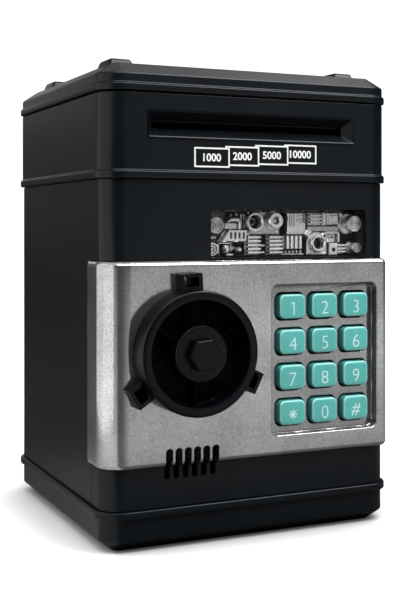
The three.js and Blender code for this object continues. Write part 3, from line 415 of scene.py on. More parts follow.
def key_finish_with_painted_light(front):
    """Teal rubber with a painted highlight as a paler line round its front edge, and painted shade as a darker
    skirt.
    """
    material = surface(
        "key_teal", (0.08, 0.38, 0.35), (0.10, 0.44, 0.41), (0.34, 0.42), specular=0.45, grain=900,
        bump=0.1
    )
    tree = material.node_tree
    color = tree.nodes["Principled BSDF"].inputs["Base Color"]
    parts = tree.nodes.new("ShaderNodeSeparateXYZ")
    tree.links.new(tree.nodes.new("ShaderNodeTexCoord").outputs["Object"], parts.inputs[0])
    behind = tree.nodes.new("ShaderNodeMapRange")
    behind.inputs["From Min"].default_value = (front + 0.02) * MM
    behind.inputs["From Max"].default_value = (front + 1.4) * MM
    tree.links.new(parts.outputs["Y"], behind.inputs["Value"])
    # painted light: pale teal at the front edge as a highlight, dark teal down the sides as shade
    painted_edge_and_skirt_tone = ramp(tree, behind.outputs["Result"], (0.30, 0.66, 0.62), (0.05, 0.25, 0.23), 0.25, 0.6)
    start = ramp(tree, behind.outputs["Result"], (0, 0, 0), (1, 1, 1), 0.0, 0.12)
    tree.links.new(mixed(tree, start, color.links[0].from_socket, painted_edge_and_skirt_tone), color)
    return material


TEAL = key_finish_with_painted_light(KEYS["5"][2])


def recess_painted_shade(material):
    """Painted shade: darkens the paint down in the keypad's recess, most along its top and left edges, where the
    rim's shadow falls.
    """
    tree = material.node_tree
    place = tree.nodes.new("ShaderNodeTexCoord").outputs["Object"]
    x, y, z = (along(tree, place, axis) for axis in ((1, 0, 0), (0, 1, 0), (0, 0, 1)))
    down = fade(tree, y, (DOOR_Y0 + 0.7) * MM, (DOOR_Y0 + 3) * MM)
    for start, end in ((PAD["x0"] - 1, PAD["x0"]), (PAD["x1"] + 1, PAD["x1"])):
        down = math_node(tree, "MULTIPLY", down, fade(tree, x, start * MM, end * MM))
    top = fade(tree, z, (PAD["z1"] - 2.2) * MM, (PAD["z1"] - 0.4) * MM)
    left = fade(tree, x, (PAD["x0"] + 2.4) * MM, (PAD["x0"] + 0.4) * MM)
    edges = math_node(tree, "MAXIMUM", top, left)
    shade_amount = math_node(tree, "MULTIPLY", down, math_node(tree, "MULTIPLY_ADD", edges, 0.55, 0.28))
    color = tree.nodes["Principled BSDF"].inputs["Base Color"]
    # the dark colour mixed in here is the painted shade of the recess
    tree.links.new(mixed(tree, shade_amount, color.links[0].from_socket, (0.03, 0.028, 0.028)), color)


recess_painted_shade(SILVER)


def relief_finish_painted_shade(floor):
    """Silver paint with painted shade and highlight: darker towards the bottom of the relief and lightest on its
    highest tops, in place of the shadow in its crevices.
    """
    material, shader = new_material("relief_silver", (0.6, 0.6, 0.6), 0.3, 0.88)
    tree = material.node_tree
    place = tree.nodes.new("ShaderNodeTexCoord")
    parts = tree.nodes.new("ShaderNodeSeparateXYZ")
    tree.links.new(place.outputs["Object"], parts.inputs[0])
    depth = tree.nodes.new("ShaderNodeMapRange")
    depth.inputs["From Min"].default_value = (floor + 0.8) * MM
    depth.inputs["From Max"].default_value = (floor - 4.2) * MM
    tree.links.new(parts.outputs["Y"], depth.inputs["Value"])
    mottled = math_node(tree, "MULTIPLY_ADD", noise(tree, 700, 3), 0.16, depth.outputs["Result"])
    # painted shade: the deeper the surface, the darker its colour; the shallowest tops get a painted highlight
    depth_shade_ramp = tree.nodes.new("ShaderNodeValToRGB")
    stops = depth_shade_ramp.color_ramp.elements
    stops[0].position, stops[0].color = 0.2, (0.008, 0.008, 0.009, 1)
    stops[1].position, stops[1].color = 0.92, (0.94, 0.94, 0.93, 1)
    for position, tone in ((0.29, 0.15), (0.46, 0.52), (0.66, 0.8)):
        stop = stops.new(position)
        stop.color = (tone, tone, tone, 1)
    tree.links.new(mottled, depth_shade_ramp.inputs["Fac"])
    tree.links.new(depth_shade_ramp.outputs["Color"], shader.inputs["Base Color"])
    tree.links.new(spread(tree, noise(tree, 300, 3), 0.22, 0.34), shader.inputs["Roughness"])
    relief = tree.nodes.new("ShaderNodeBump")
    relief.inputs["Strength"].default_value = 0.25
    relief.inputs["Distance"].default_value = 0.03 * MM
    tree.links.new(noise(tree, 2400, 2), relief.inputs["Height"])
    tree.links.new(relief.outputs["Normal"], shader.inputs["Normal"])
    return material


def lens_finish():
    material, shader = new_material("lens_clear", (0.05, 0.055, 0.06), 0.06, 0.0, 0.5)
    shader.inputs["Alpha"].default_value = 0.04
    tree = material.node_tree
    tree.links.new(spread(tree, noise(tree, 120, 3), 0.04, 0.09), shader.inputs["Roughness"])
    return material


RELIEF_FLOOR = RELIEF_HIGH[1] - 1.5
RELIEF = relief_finish_painted_shade(RELIEF_FLOOR)
LENS_CLEAR = lens_finish()


def dress(finish, *names, width=0.0, segments=2, clamp=True):
    """Gives CAD nodes their finish, joins their loose facets and softens their edges."""
    for name in names:
        ob = NODES[name]
        for slot in ob.material_slots:
            slot.link = "OBJECT"
            slot.material = finish
        ob.modifiers.new("bare", "NODES").node_group = BARE
        ob.modifiers.new("weld", "WELD").merge_threshold = 0.002 * MM
        soften(ob, width, segments, clamp=clamp)


def piece(ob, body, stands_for=()):
    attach(ob, body)
    if stands_for:
        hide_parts(*stands_for)
    return ob


# ---------------------------------------------------------------- shells and inner parts from the CAD
dress(SHELL, "base_tray", "upper_housing", "top_cover", width=0.6, segments=3, clamp=False)
dress(SHELL, "lower_body", width=0.35)
dress(SHELL, "battery_cover", width=0.2)
dress(INNER, "money_floor", "coin_chute", "speaker", "door_back_cover", "feed_frame", width=0.2)
dress(BOARD, "main_board", "display_board", "key_board", width=0.1)
dress(STEEL, "contact_strip_left", "contact_strip_right", "hinge_pin_upper", "hinge_pin_lower", width=0.05)
dress(STEEL, "latch_bolt", "lock_solenoid", "motor", "battery_cover_screw", width=0.12)
dress(STEEL, *[f"base_screw_{i}" for i in range(1, 5)], *[f"door_screw_{i}" for i in range(1, 5)], width=0.1)
dress(JACKET, "battery_1", "battery_2", "battery_3", width=0.1)
dress(RUBBER, "key_mat", "drive_roller", "idler_roller", width=0.15)
dress(NYLON, "roller_gear", "motor_pinion", "latch_pinion", width=0.1)
dress(LENS_CLEAR, "window_lens")


# ---------------------------------------------------------------- door
DOOR_CORNER_R = 10.8
DOOR_EDGE_R = 2.2
DOOR_FLANK_WALL = 1.8
KEY_GAP = 0.65  # round each key, in the recess's floor
SHAFT_HOLE_R, PIN_HOLE_R = 3.1, 0.95
VENTS = {"count": 6, "pitch": 3.9, "w": 2.8, "x0": -38.1, "top": 38.9}
PIVOT = (56.2, -58.1)


def door_ring(z, inset_x, inset_y):
    x0, x1, y0 = DOOR_X0 + inset_x, DOOR_X1 - inset_x, DOOR_Y0 + inset_y
    corner, edge = DOOR_CORNER_R - inset_x, DOOR_EDGE_R
    ring = [(x0, DOOR_FLANK_END)]
    ring += arc(x0 + corner, y0 + DOOR_CORNER_R - inset_y, 1, 180, 270, 18)
    for i in range(1, 20):
        a, b = ring[i]
        cx, cy = x0 + corner, y0 + DOOR_CORNER_R - inset_y
        ring[i] = (cx + (a - cx) * corner, cy + (b - cy) * (DOOR_CORNER_R - inset_y))
    ring += arc(x1 - edge, y0 + edge, edge, -90, 0, 8)
    lining = DOOR_X0 + DOOR_FLANK_WALL
    ring += [(x1, DOOR_REAR), (lining, DOOR_REAR), (lining, DOOR_FLANK_END)]
    return [(a, b, z) for a, b in ring]


def door_skin():
    steps = 6
    rise = []
    for i in range(steps + 1):
        t = radians(90 * i / steps)
        rise.append((DOOR_EDGE_R * (1 - sin(t)), 1.5 * (1 - cos(t)), DOOR_EDGE_R * (1 - cos(t))))
    rings = [door_ring(DOOR_Z0 + rise[i][0], rise[i][1], rise[i][2]) for i in range(steps, -1, -1)]
    rings += [door_ring(DOOR_Z1 - rise[i][0], rise[i][1], rise[i][2]) for i in range(steps + 1)]
    skin = loft("door_skin", rings, SILVER)
    p = PAD
    recess = round_rect(p["x0"], p["x1"], p["z0"], p["z1"], p["r"], 8)
    tools = [prism("pad", recess, "y", DOOR_Y0 - 2, p["floor"])]
    for x, z, _ in KEYS.values():
        w, h = KEY_W / 2 + KEY_GAP, KEY_H / 2 + KEY_GAP
        hole = round_rect(x - w, x + w, z - h, z + h, KEY_R + 0.2, 6)
        tools.append(prism("hole", hole, "y", p["floor"] - 1, DOOR_REAR + 1))
    for i in range(VENTS["count"]):
        x, r = VENTS["x0"] + i * VENTS["pitch"], VENTS["w"] / 2
        slot = round_rect(x - r, x + r, DOOR_Z0 - 6, VENTS["top"], r - 0.01, 8)
        tools.append(prism("slot", slot, "y", DOOR_Y0 - 1, DOOR_Y0 + 4))
        tools.append(block(x - r, x + r, DOOR_Y0 + 3, DOOR_REAR + 1, DOOR_Z0 - 1, DOOR_Z0 + 3))
    tools.append(block(-42, -15, DOOR_Y0 + 2, DOOR_REAR + 1, DOOR_Z0 + 1.8, VENTS["top"] + 2))
    tools.append(prism("shaft", circle(WHEEL_X, WHEEL_Z, SHAFT_HOLE_R), "y", DOOR_Y0 - 1, DOOR_REAR + 1))
    for z0, z1 in ((DOOR_Z0 - 1, DOOR_Z0 + 6), (DOOR_Z1 - 6, DOOR_Z1 + 1)):
        tools.append(prism("pin", circle(*PIVOT, PIN_HOLE_R, 16), "z", z0, z1))
    carve(skin, tools)
    soften(skin, 0.4, 3, 42, clamp=False)
    return piece(skin, "door", ["door_panel"])


door_skin()


# ---------------------------------------------------------------- keys
STROKE = 0.46  # width of the printed strokes


def text_outline(name, text, height, offset=0.0, thickness=0.08):
    """Text as a mesh facing -Y, centred on the origin, in millimetres."""
    curve = bpy.data.curves.new(name, "FONT")
    curve.body = text
    curve.size = 10
    curve.offset = offset
    curve.resolution_u = 6
    curve.extrude = 0.5
    ob = bpy.data.objects.new(name, curve)
    bpy.context.scene.collection.objects.link(ob)
    graph = bpy.context.evaluated_depsgraph_get()
    mesh = bpy.data.meshes.new_from_object(ob.evaluated_get(graph))
    bpy.data.objects.remove(ob)
    points = [v.co.copy() for v in mesh.vertices]
    faces = [tuple(p.vertices) for p in mesh.polygons]
    xs, ys = [p.x for p in points], [p.y for p in points]
    scale = height / (max(ys) - min(ys))
    mx, my = (max(xs) + min(xs)) / 2, (max(ys) + min(ys)) / 2
    placed = [((p.x - mx) * scale, -p.z * thickness, (p.y - my) * scale) for p in points]
    return placed, faces


def bar(x0, z0, x1, z1, width, y0, y1):
    """A straight printed stroke with squared ends, as (vertices, faces)."""
    length = sqrt((x1 - x0) ** 2 + (z1 - z0) ** 2)
    ax, az = (x1 - x0) / length, (z1 - z0) / length
    nx, nz = -az * width / 2, ax * width / 2
    corners = [(x0 + nx, z0 + nz), (x0 - nx, z0 - nz), (x1 - nx, z1 - nz), (x1 + nx, z1 + nz)]
    points = [(x, y, z) for y in (y0, y1) for x, z in corners]
    faces = [(0, 1, 2, 3), (7, 6, 5, 4)] + [(i, i + 4, (i + 1) % 4 + 4, (i + 1) % 4) for i in range(4)]
    return points, faces


def key_print(label):
    """The printed mark of a key: vertices and faces centred on the origin."""
    if label == "star":
        strokes = [(1.95 * cos(t), 1.95 * sin(t)) for t in [radians(90 + 45 * i) for i in range(4)]]
        bars = [(-x, -z, x, z) for x, z in strokes]
    elif label == "1":
        bars = [(0.45, -2.6, 0.45, 2.6), (-0.85, 1.75, 0.45, 2.5)]
    elif label == "hash":
        lean, half = 1.0, 2.5
        bars = [(x - lean, -half, x + lean, half) for x in (-0.85, 0.85)]
        bars += [(-2.1 + s, z, 1.9 + s, z) for s, z in ((-0.1, -0.85), (0.3, 0.85))]
    else:
        return text_outline("digit", label, 5.2, -0.14)
    vertices, faces = [], []
    for i, (x0, z0, x1, z1) in enumerate(bars):
        points, quads = bar(x0, z0, x1, z1, STROKE, 0.04, -0.04 - 0.004 * i)
        faces += [tuple(len(vertices) + k for k in quad) for quad in quads]
        vertices += points
    return vertices, faces


def key_cap(label):
    x, z, front = KEYS[label]
    crown = [(0, 7.5), (0, 0.8), (0.06, 0.5), (0.2, 0.27), (0.42, 0.12), (0.75, 0.04), (1.3, 0.0)]
    rings = []
    for inset, back in crown:
        w, h, r = KEY_W / 2 - inset, KEY_H / 2 - inset, max(KEY_R - inset * 0.5, 1.2)
        rings.append([(a, front + back, b) for a, b in round_rect(x - w, x + w, z - h, z + h, r, 8)])
    cap = loft("cap_" + label, rings, TEAL)
    soften(cap, 0, 2)
    piece(cap, "button_" + label, ["key_" + label])
    vertices, faces = key_print(label)
    vertices = [(a + x, b + front, c + z - 0.75) for a, b, c in vertices]
    mark = new_object("print_" + label, vertices, faces, KEY_PRINT)
    piece(mark, "button_" + label)


for label in KEY_LABELS:
    key_cap(label)


# ---------------------------------------------------------------- handwheel
def turned_block(angle, r0, r1, width, y0, y1):
    c, s = cos(radians(angle)), sin(radians(angle))
    corners = [(r0, -width / 2), (r1, -width / 2), (r1, width / 2), (r0, width / 2)]
    points = [(WHEEL_X + c * a - s * b, WHEEL_Z + s * a + c * b) for a, b in corners]
    return prism("turned", points, "y", y0, y1)


def handwheel():
    front, back = WHEEL_FRONT, WHEEL_BACK
    profile = [
        (0, back), (WHEEL_R - 0.4, back), (WHEEL_R, back - 0.5), (WHEEL_R, front + 1.1),
        (WHEEL_R - 0.3, front + 0.4), (WHEEL_R - 1, front), (DISH_R + 0.9, front),
        (DISH_R + 0.3, front + 0.2), (DISH_R, front + 0.7), (DISH_R, back - 3.6),
        (DISH_R - 1, back - 3.2), (DISH_R - 1, back - 1.6),
        (HUB_R, back - 1.6), (HUB_R, front + 0.5), (HUB_R - 0.3, front + 0.15), (HUB_R - 0.8, front),
        (4.4, front), (4.4, front + 2.2), (0, front + 2.2),
    ]
    wheel = lathe_y("wheel", profile, WHEEL_X, WHEEL_Z, 96, WHEEL)
    angles = [93.4, 213.4, 333.4]
    lug_front = front + 5.2
    lugs = [turned_block(a, WHEEL_R - 1.5, LUG_R, 8.6, lug_front, back) for a in angles]
    reach = (HUB_R - 0.9, DISH_R + 0.2)
    spokes = [turned_block(a - 5, *reach, 9, back - 4, back - 0.8) for a in angles]
    ribs = [turned_block(a + 55, *reach, 1.4, back - 5.5, back - 0.8) for a in angles]
    carve(wheel, lugs + spokes + ribs, "UNION")
    pockets = [turned_block(a, WHEEL_R + 1.2, LUG_R - 1.4, 5.4, lug_front - 1, back - 1.4) for a in angles]
    carve(wheel, pockets)
    soften(wheel, 0.45, 3, 50)
    piece(wheel, "wheel", ["handwheel"])
    shaft_end = box_mm("latch_pinion")[1][1] + 0.2
    shaft = prism("wheel_shaft", circle(WHEEL_X, WHEEL_Z, 2.7), "y", back + 0.02, shaft_end, WHEEL)
    piece(soften(shaft, 0.15), "wheel")


def hex_cap():
    across, turn, top = 11.3, 6, HEX_LOW[1]
    rings = []
    for narrower, y in ((0.0, WHEEL_FRONT), (0.0, top + 0.9), (0.15, top + 0.35), (0.5, top)):
        r = across / sqrt(3) - narrower
        rings.append([(a, y, b) for a, b in arc(WHEEL_X, WHEEL_Z, r, turn, turn + 300, 5)])
    cap = loft("hex_nut", rings, WHEEL)
    soften(cap, 0.22, 2, 25)
    piece(cap, "wheel", ["hex_cap"])


handwheel()
hex_cap()


# ---------------------------------------------------------------- relief behind the window
# (x0, x1, z0, z1, height above the relief's floor)
RELIEF_BLOCKS = [
    (-9.9, -3.9, 122.9, 125.5, 2.0), (-4.2, -3.3, 122.9, 126.6, 3.4), (-7.4, -6.4, 128.0, 129.2, 1.6),
    (-4.8, -3.9, 128.2, 129.4, 1.6), (-2.5, -1.9, 123.2, 129.2, 1.4), (-1.2, -0.6, 123.2, 129.2, 1.4),
    (-0.5, 1.2, 120.4, 121.5, 2.4), (-12.6, -6.8, 117.0, 117.6, 2.2), (-7.4, -6.8, 114.0, 117.2, 1.8),
    (-12.9, -11.9, 112.6, 117.0, 1.4), (-10.7, -8.5, 113.4, 116.4, 3.0), (-9.6, -6.4, 112.2, 113.0, 2.6),
    (-0.3, 6.0, 112.2, 120.5, 0.7), (9.5, 16.0, 112.2, 120.5, 0.7),
    (6.3, 8.0, 115.8, 116.5, 2.4), (6.3, 8.0, 113.0, 113.8, 2.4), (17.2, 25.6, 114.6, 120.3, 1.2),
    (28.4, 34.9, 124.4, 129.8, 1.6), (35.1, 36.9, 124.5, 129.8, 2.8), (37.2, 42.9, 124.7, 129.7, 2.6),
    (38.0, 42.2, 125.4, 128.8, 3.2), (38.5, 39.8, 126.2, 127.9, 3.8), (28.4, 44.0, 121.9, 124.2, 1.3),
    (37.4, 44.0, 117.4, 122.2, 1.3),
    (36.2, 43.3, 120.9, 121.8, 3.2), (42.4, 43.3, 117.4, 121.8, 3.2), (36.8, 41.2, 119.9, 120.4, 2.4),
    (40.7, 41.3, 118.0, 120.4, 2.4), (37.3, 40.6, 117.4, 118.9, 2.9), (29.6, 36.4, 112.2, 113.2, 3.4),
    (42.1, 46.4, 112.2, 116.9, 0.7), (16.0, 26.2, 112.2, 112.8, 2.2), (43.6, 45.2, 127.6, 129.8, 2.2),
    (1.4, 2.6, 121.4, 122.0, 2.2), (13.2, 14.8, 121.3, 122.4, 2.3), (-17.4, -13.6, 119.0, 120.2, 1.8),
]
# rows of bars: (x0, x1, z0, z1, count, height, upright)
RELIEF_BARS = [
    (0.0, 5.8, 112.5, 120.4, 5, 3.6, False), (9.8, 15.8, 112.5, 120.4, 5, 3.6, False),
    (29.1, 34.6, 125.0, 129.4, 3, 3.5, False), (42.2, 46.2, 112.6, 116.8, 3, 3.5, False),
    (17.4, 25.4, 114.7, 120.2, 4, 3.5, True), (17.4, 26.0, 112.9, 114.1, 5, 1.8, True),
]
# openings through the relief's plate, black behind: (x0, x1, z0, z1)
RELIEF_GAPS = [
    (-8.8, -3.0, 127.7, 129.9), (-3.1, 0.3, 122.9, 129.7), (-13.2, -0.6, 112.3, 117.3), (6.3, 9.2, 112.3, 120.6),
    (15.7, 17.8, 112.9, 130.0), (26.9, 28.2, 122.4, 130.0), (25.6, 27.5, 112.9, 120.4), (17.2, 25.6, 112.9, 114.5),
    (46.6, 51.9, 112.3, 130.6), (44.2, 46.6, 117.0, 122.6), (37.2, 37.9, 112.3, 117.2), (36.9, 39.8, 118.9, 119.9),
]


def inset(points, distance):
    """Every side of a convex outline moved inwards."""
    count = len(points)
    area = sum(points[i - 1][0] * points[i][1] - points[i][0] * points[i - 1][1] for i in range(count))
    turn = 1 if area > 0 else -1
    moved = []
    for i in range(count):
        before = Vector(points[i]) - Vector(points[i - 1])
        after = Vector(points[(i + 1) % count]) - Vector(points[i])
        first = Vector((-before.y, before.x)).normalized() * turn
        second = Vector((-after.y, after.x)).normalized() * turn
        shift = (first + second) * distance / (1 + first.dot(second))
        moved.append((points[i][0] + shift.x, points[i][1] + shift.y))
    return moved


def joined(name, solids, material):
    """One object holding all the solids' meshes."""
    both = bmesh.new()
    for ob in solids:
        both.from_mesh(ob.data)
        bpy.data.objects.remove(ob)
    mesh = bpy.data.meshes.new(name)
    both.to_mesh(mesh)
    both.free()
    mesh.materials.append(material)
    ob = bpy.data.objects.new(name, mesh)
    bpy.context.scene.collection.objects.link(ob)
    return ob


def relief():
    front, floor, x0, x1 = RELIEF_LOW[1], RELIEF_FLOOR, RELIEF_LOW[0], RELIEF_HIGH[0]
    z0, z1, deep = RELIEF_LOW[2], RELIEF_HIGH[2], RELIEF_FLOOR + 0.8
    tray = block(x0, x1, front, RELIEF_HIGH[1], z0, z1, "relief_tray")
    tray.data.materials.append(INNER)
    opening = round_rect(x0 + 1.0, x1 - 1.0, z0 - 0.2, z1 - 0.9, 2, 6)
    carve(tray, [prism("opening", opening, "y", front - 1, deep)])
    piece(soften(tray, 0.15), "bank", ["relief_panel"])

    plate = block(x0 + 1.05, x1 - 1.05, floor, deep - 0.02, z0 + 0.05, z1 - 0.95, "plate")
    carve(plate, [block(a0, a1, floor - 1, deep + 1, b0, b1) for a0, a1, b0, b1 in RELIEF_GAPS])

    def bores():
        places = ((3.1, 125.9, 2.8), (11.9, 126.4, 1.6), (32.5, 117.0, 2.5))
        return [prism("bore", circle(a, b, r, 24), "y", floor - 6, deep + 1) for a, b, r in places]

    solids = [carve(plate, bores())]

    def poly(points, out, chamfer=0.3):
        """A solid with a chamfered top, standing out from the relief's floor."""
        chamfer, top = min(chamfer, out * 0.4), floor - out
        outlines = ((points, deep - 0.02), (points, top + chamfer), (inset(points, chamfer), top))
        solids.append(loft("poly", [[(a, y, b) for a, b in outline] for outline, y in outlines]))
        return solids[-1]

    def box_at(a0, a1, b0, b1, out):
        return poly([(a0, b0), (a1, b0), (a1, b1), (a0, b1)], out, 0.3 * min(1, a1 - a0, b1 - b0))

    def turned(a, b, profile, steps=40):
        solids.append(lathe_y("turned", profile, a, b, steps))

    def ring(a, b, r, bore, out):
        top = floor - out
        turned(a, b, [
            (0, deep), (r, deep), (r, top + 0.5), (r - 0.3, top + 0.1), (r - 0.6, top), (bore + 0.35, top + 0.05),
            (bore, top + 0.5), (bore - 0.2, floor + 0.3), (bore * 0.66, floor + 0.3), (bore * 0.6, floor - 0.4),
            (bore * 0.36, floor - 0.4), (bore * 0.3, floor + 0.4), (0, floor + 0.4),
        ])

    def target(a, b, r, out, count):
        """A round boss with rings cut in its face."""
        top, step = floor - out, r / (count + 0.5)
        profile = [(0, deep), (r, deep), (r, top + 0.25)]
        for i in range(count):
            outer = r - i * step
            profile += [(outer - 0.15 * step, top), (outer - 0.48 * step, top)]
            profile += [(outer - 0.6 * step, top + 1.3), (outer - 0.92 * step, top + 1.3)]
        profile += [(step * 0.42, top), (0, top - 0.1)]
        turned(a, b, profile)

    for row in RELIEF_BLOCKS:
        box_at(*row)
    carve(box_at(0.8, 15.4, 120.8, 130.0, 1.5), bores())
    for a0, a1, b0, b1, count, out, upright in RELIEF_BARS:
        pitch = ((a1 - a0) if upright else (b1 - b0)) / count
        for i in range(count):
            low, high = pitch * (i + 0.22), pitch * (i + 0.78)
            if upright:
                box_at(a0 + low, a0 + high, b0, b1, out)
            else:
                box_at(a0, a1, b0 + low, b0 + high, out)
    target(-14.2, 124.5, 3.3, 3.2, 3)
    target(-15.9, 114.9, 2.7, 3.0, 2)
    poly([(-9.9, 125.9), (-8.0, 127.4), (-3.9, 127.4), (-3.9, 125.9)], 3.8)
    poly([(-12.9, 117.9), (-9.9, 122.6), (-8.6, 122.6), (-11.5, 117.9)], 1.3)
    vents = poly([(-11.6, 117.9), (-8.5, 122.6), (-0.3, 122.6), (-0.8, 117.9)], 3.2)
    carve(vents, [block(a, a + 1.0, floor - 5, floor - 0.9, 119.0, 121.7) for a in (-8.2, -6.3, -4.4, -2.5)])
    panel = box_at(18.1, 26.7, 120.8, 129.6, 3.3)
    grooves = [block(a, a + 0.4, floor - 5, floor - 2.2, 123.9, 129.1) for a in (18.9, 19.9, 20.9)]
    grooves += [block(22.2, 26.3, floor - 5, floor - 2.3, 125.6, 129.2)]
    grooves += [block(18.6, 26.2, floor - 5, floor - 2.6, 121.4, 121.8)]
    carve(panel, grooves)
    for b in (126.3, 127.9):
        box_at(22.9, 25.6, b, b + 0.6, 3.3)
    turned(-9.6, 115.0, [(0, deep), (1.2, deep), (1.2, floor - 3.0), (0.8, floor - 3.7), (0, floor - 3.9)], 20)
    turned(-6.0, 115.2, [(0, deep), (1.3, deep), (1.3, floor - 0.4), (0.8, floor - 1.1), (0, floor - 1.3)], 20)
    turned(-4.1, 114.7, [(0, deep), (1.0, deep), (1.0, floor - 3.4), (0.7, floor - 4.0), (0, floor - 4.2)], 20)
    ring(3.1, 125.9, 4.1, 2.7, 3.9)
    turned(11.9, 126.4, [
        (0, deep), (3.9, deep), (3.9, floor - 1.9), (3.7, floor - 2.1), (3.35, floor - 2.1), (3.35, floor - 4.8),
        (3.0, floor - 5.2), (1.8, floor - 5.2), (1.5, floor - 4.9), (1.4, floor - 1.2), (0.8, floor - 1.2),
        (0.75, floor - 3.8), (0.5, floor - 4.0), (0, floor - 4.1),
    ])
    poly([(25.4, 120.9), (27.5, 123.4), (29.3, 122.0), (27.2, 119.5)], 4.3)
    poly([(34.6, 121.2), (36.4, 121.8), (36.4, 120.9), (35.2, 120.4)], 3.2)
    carve(poly([(27.7, 112.3)] + arc(32.5, 117.0, 4.8, 180, 0, 18) + [(37.3, 112.3)], 2.5), bores())
    ring(32.5, 117.0, 3.7, 2.4, 4.6)
    hollow = box_at(38.0, 42.1, 112.0, 116.9, 3.4)
    carve(hollow, [prism("hole", circle(40.1, 114.3, 0.9, 20), "y", floor - 5, floor)])
    turned(47.6, 125.1, [(0, deep), (4.4, deep), (4.4, floor - 1.7), (4.1, floor - 2.0), (0, floor - 2.0)])
    target(48.9, 125.1, 3.35, 6.0, 3)
    turned(49.6, 115.0, [(0, deep), (2.7, deep), (2.7, floor - 1.6), (2.4, floor - 1.9), (0, floor - 1.9)])
    target(50.2, 115.0, 2.1, 5.8, 2)
    works = joined("relief_works", solids, RELIEF)
    piece(soften(works, 0), "bank", ["relief_panel"])


relief()


# ---------------------------------------------------------------- number labels
BAND_PROUD = 0.9  # how far the housing's band stands out from its front
LABEL_LINE = 0.62


def label(index, text, x0, x1, z0, z1):
    """A white frame round a black ground with a bold number, laid on the upper housing's front."""
    face = HOUSING_FRONT + BAND_PROUD
    line, lift = LABEL_LINE, 0.035 * (4 - index)
    back, front = face + 0.02, face - 0.03 - lift
    ground = block(x0 + 0.1, x1 - 0.1, front + 0.012, back, z0 + 0.1, z1 - 0.1, f"label_ground_{text}")
    ground.data.materials.append(SHELL)
    piece(ground, "bank")
    rim = block(x0, x1, front, back, z0, z1, f"label_rim_{text}")
    rim.data.materials.append(PRINT)
    carve(rim, [block(x0 + line, x1 - line, front - 1, back + 1, z0 + line, z1 - line)])
    piece(rim, "bank")
    vertices, faces = text_outline("number", text, 3.15, 0.22, 0.05)
    cx, cz = (x0 + x1) / 2, (z0 + z1) / 2
    wide = max(v[0] for v in vertices) - min(v[0] for v in vertices)
    squeeze = min(1.0, (x1 - x0 - 2.2 * line) * 0.97 / wide)
    placed = [(cx + a * squeeze, front + 0.01 + b, cz + c) for a, b, c in vertices]
    number = new_object(f"label_number_{text}", placed, faces, PRINT)
    piece(number, "bank")


label(0, "1000", -26.9, -11.6, 147.1, 154.9)
label(1, "2000", -13.5, 1.5, 147.9, 155.7)
label(2, "5000", -0.3, 14.8, 148.6, 156.5)
label(3, "10000", 12.9, 27.9, 149.4, 157.1)


# ---------------------------------------------------------------- floor and lights
def facing(turn, rise):
    """A direction turned from -Y towards -X, and raised, in degrees."""
    turn, rise = radians(turn), radians(rise)
    return (-sin(turn) * cos(rise), -cos(turn) * cos(rise), sin(rise))


def seen_directly(tree):
    """1 where the floor or the surround is looked at, 0 where it only lights or is mirrored."""
    return tree.nodes.new("ShaderNodeLightPath").outputs["Is Camera Ray"]


def stage_floor():
    """Pale paper that glows to look at, with a painted contact shadow round the base, and mirrored as a dimmer
    sheet that carries painted light pools for the door to reflect.
    """
    half = 5000
    vertices = [(x * half, y * half, 0) for x, y in ((-1, -1), (1, -1), (1, 1), (-1, 1))]
    sheet = new_object("floor_sheet", vertices, [(0, 1, 2, 3)])
    material, shader = new_material("paper", (0.5, 0.5, 0.5), 0.85, 0.0, 0.1)
    tree = material.node_tree
    direct = seen_directly(tree)
    place = tree.nodes.new("ShaderNodeTexCoord").outputs["Object"]
    reach = tree.nodes.new("ShaderNodeVectorMath")
    reach.operation = "LENGTH"
    tree.links.new(place, reach.inputs[0])
    ahead = fade(tree, along(tree, place, MIRRORED_AHEAD), 0.05, 0.25)
    out = math_node(tree, "SUBTRACT", along(tree, place, (0, -1, 0)), DOOR_AHEAD)
    off = math_node(tree, "ADD", along(tree, place, (1, 0, 0)), DOOR_ASIDE)
    slope = math_node(tree, "DIVIDE", off, math_node(tree, "MAXIMUM", out, 0.01))
    # painted light: pools of brighter paper that only the door's reflection sees
    door_light_pool = fade(tree, slope, -0.4, 0.3, 0.0, FLOOR_MIRRORED_LIGHT[1])
    door_light_pool = math_node(tree, "MULTIPLY", door_light_pool, fade(tree, slope, 0.8, 1.5, 1.0, 0.55))
    door_light_pool = math_node(tree, "MULTIPLY", door_light_pool, ahead)
    corner_light_pool = fade(tree, slope, -0.65, -0.9, 0.0, FLOOR_MIRRORED_LIGHT[2])
    corner_light_pool = math_node(tree, "MULTIPLY", corner_light_pool, fade(tree, out, -0.25, 0.0))
    mirrored = math_node(tree, "ADD", math_node(tree, "ADD", door_light_pool, corner_light_pool), FLOOR_MIRRORED_LIGHT[0])
    mottle = math_node(tree, "MULTIPLY", noise(tree, 6, 3), 0.02)
    # painted shadow: ambient occlusion darkens the paper's colour and glow near the base
    nearby = tree.nodes.new("ShaderNodeAmbientOcclusion")
    nearby.inputs["Distance"].default_value = CONTACT_REACH
    painted_contact_shade = math_node(tree, "POWER", nearby.outputs["AO"], CONTACT_POWER)
    seen = math_node(tree, "MULTIPLY", math_node(tree, "MULTIPLY", direct, FLOOR_SEEN), painted_contact_shade)
    tone = math_node(tree, "MAXIMUM", seen, mirrored)
    tree.links.new(math_node(tree, "ADD", tone, mottle), shader.inputs["Base Color"])
    shader.inputs["Emission Color"].default_value = (1, 1, 1, 1)
    glow = fade(tree, reach.outputs["Value"], *GLOW_REACH, *FLOOR_GLOW)
    glow = math_node(tree, "MULTIPLY", glow, painted_contact_shade)
    tree.links.new(math_node(tree, "MULTIPLY", direct, glow), shader.inputs["Emission Strength"])
    sheet.data.materials.append(material)


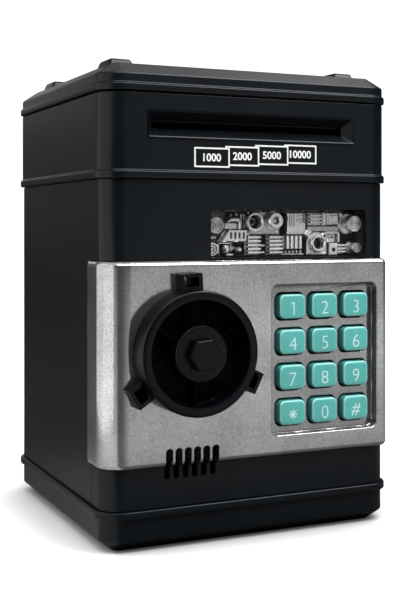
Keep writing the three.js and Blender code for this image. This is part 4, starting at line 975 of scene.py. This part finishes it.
def studio_world():
    """A dim surround with soft patches of light: (direction, inner angle, outer angle, strength)."""
    world = bpy.data.worlds.new("studio")
    world.use_nodes = True
    tree = world.node_tree
    heading = tree.nodes.new("ShaderNodeTexCoord").outputs["Generated"]
    total = SURROUND
    for direction, inner, outer, strength in PATCHES:
        edges = cos(radians(outer)), cos(radians(inner))
        patch = fade(tree, along(tree, heading, direction), *edges, 0.0, strength)
        total = math_node(tree, "ADD", patch, total)
    direct = math_node(tree, "MULTIPLY", seen_directly(tree), 1.2)
    shader = tree.nodes["Background"]
    shader.inputs["Color"].default_value = (0.97, 0.985, 1.0, 1)
    tree.links.new(math_node(tree, "ADD", total, direct), shader.inputs["Strength"])
    bpy.context.scene.world = world


def softbox(name, at, size, radiance, look_at=(0, 0, 95)):
    """A rectangular light out of the camera's sight; size is across and up."""
    data = bpy.data.lights.new(name, "AREA")
    data.shape = "RECTANGLE"
    data.size, data.size_y = size[0] * MM, size[1] * MM
    data.energy = pi * data.size * data.size_y * radiance
    ob = bpy.data.objects.new(name, data)
    ob.location = Vector(at) * MM
    ob.rotation_euler = (Vector(look_at) - Vector(at)).to_track_quat("-Z", "Y").to_euler()
    ob.visible_camera = False
    bpy.context.scene.collection.objects.link(ob)


MIRRORED_AHEAD = (0.45, -0.89, 0)  # the way in which the door's mirrored rays leave it
DOOR_AHEAD, DOOR_ASIDE = 0.06, 0.05  # where the door's left end stands, in metres
FLOOR_MIRRORED_LIGHT = (0.065, 0.275, 0.38)  # mirrored: everywhere, then painted light pools added ahead of the door and to its left, for the door to reflect
FLOOR_SEEN = 0.8
CONTACT_REACH, CONTACT_POWER = 0.04, 1.35  # painted contact shadow: its reach in metres, and how fast the paper darkens towards the base
FLOOR_GLOW = (0.72, 1.0)  # near and far; the dimmer glow near the base is painted shade
GLOW_REACH = (0.12, 0.4)
SURROUND = 0.05
PATCHES = [(facing(0, 90), 20, 70, 0.8), (facing(163, 6), 8, 30, 0.08)]

stage_floor()
studio_world()
softbox("left", (-270, -20, 160), (420, 310), 1.15, (0, -20, 160))
softbox("front_right", (295, -600, 250), (310, 500), 0.36, (0, -60, 200))
softbox("high_front", (-150, -700, 1150), (700, 500), 9.0)
softbox("high_right", (560, -640, 1060), (620, 620), 12.0)
softbox("overhead", (540, 190, 1180), (520, 520), 1.8)
softbox("behind", (0, 1150, 420), (700, 240), 0.8, (-60, 0, 120))
bpy.context.scene.view_settings.view_transform = "Standard"
bpy.context.scene.view_settings.look = "None"
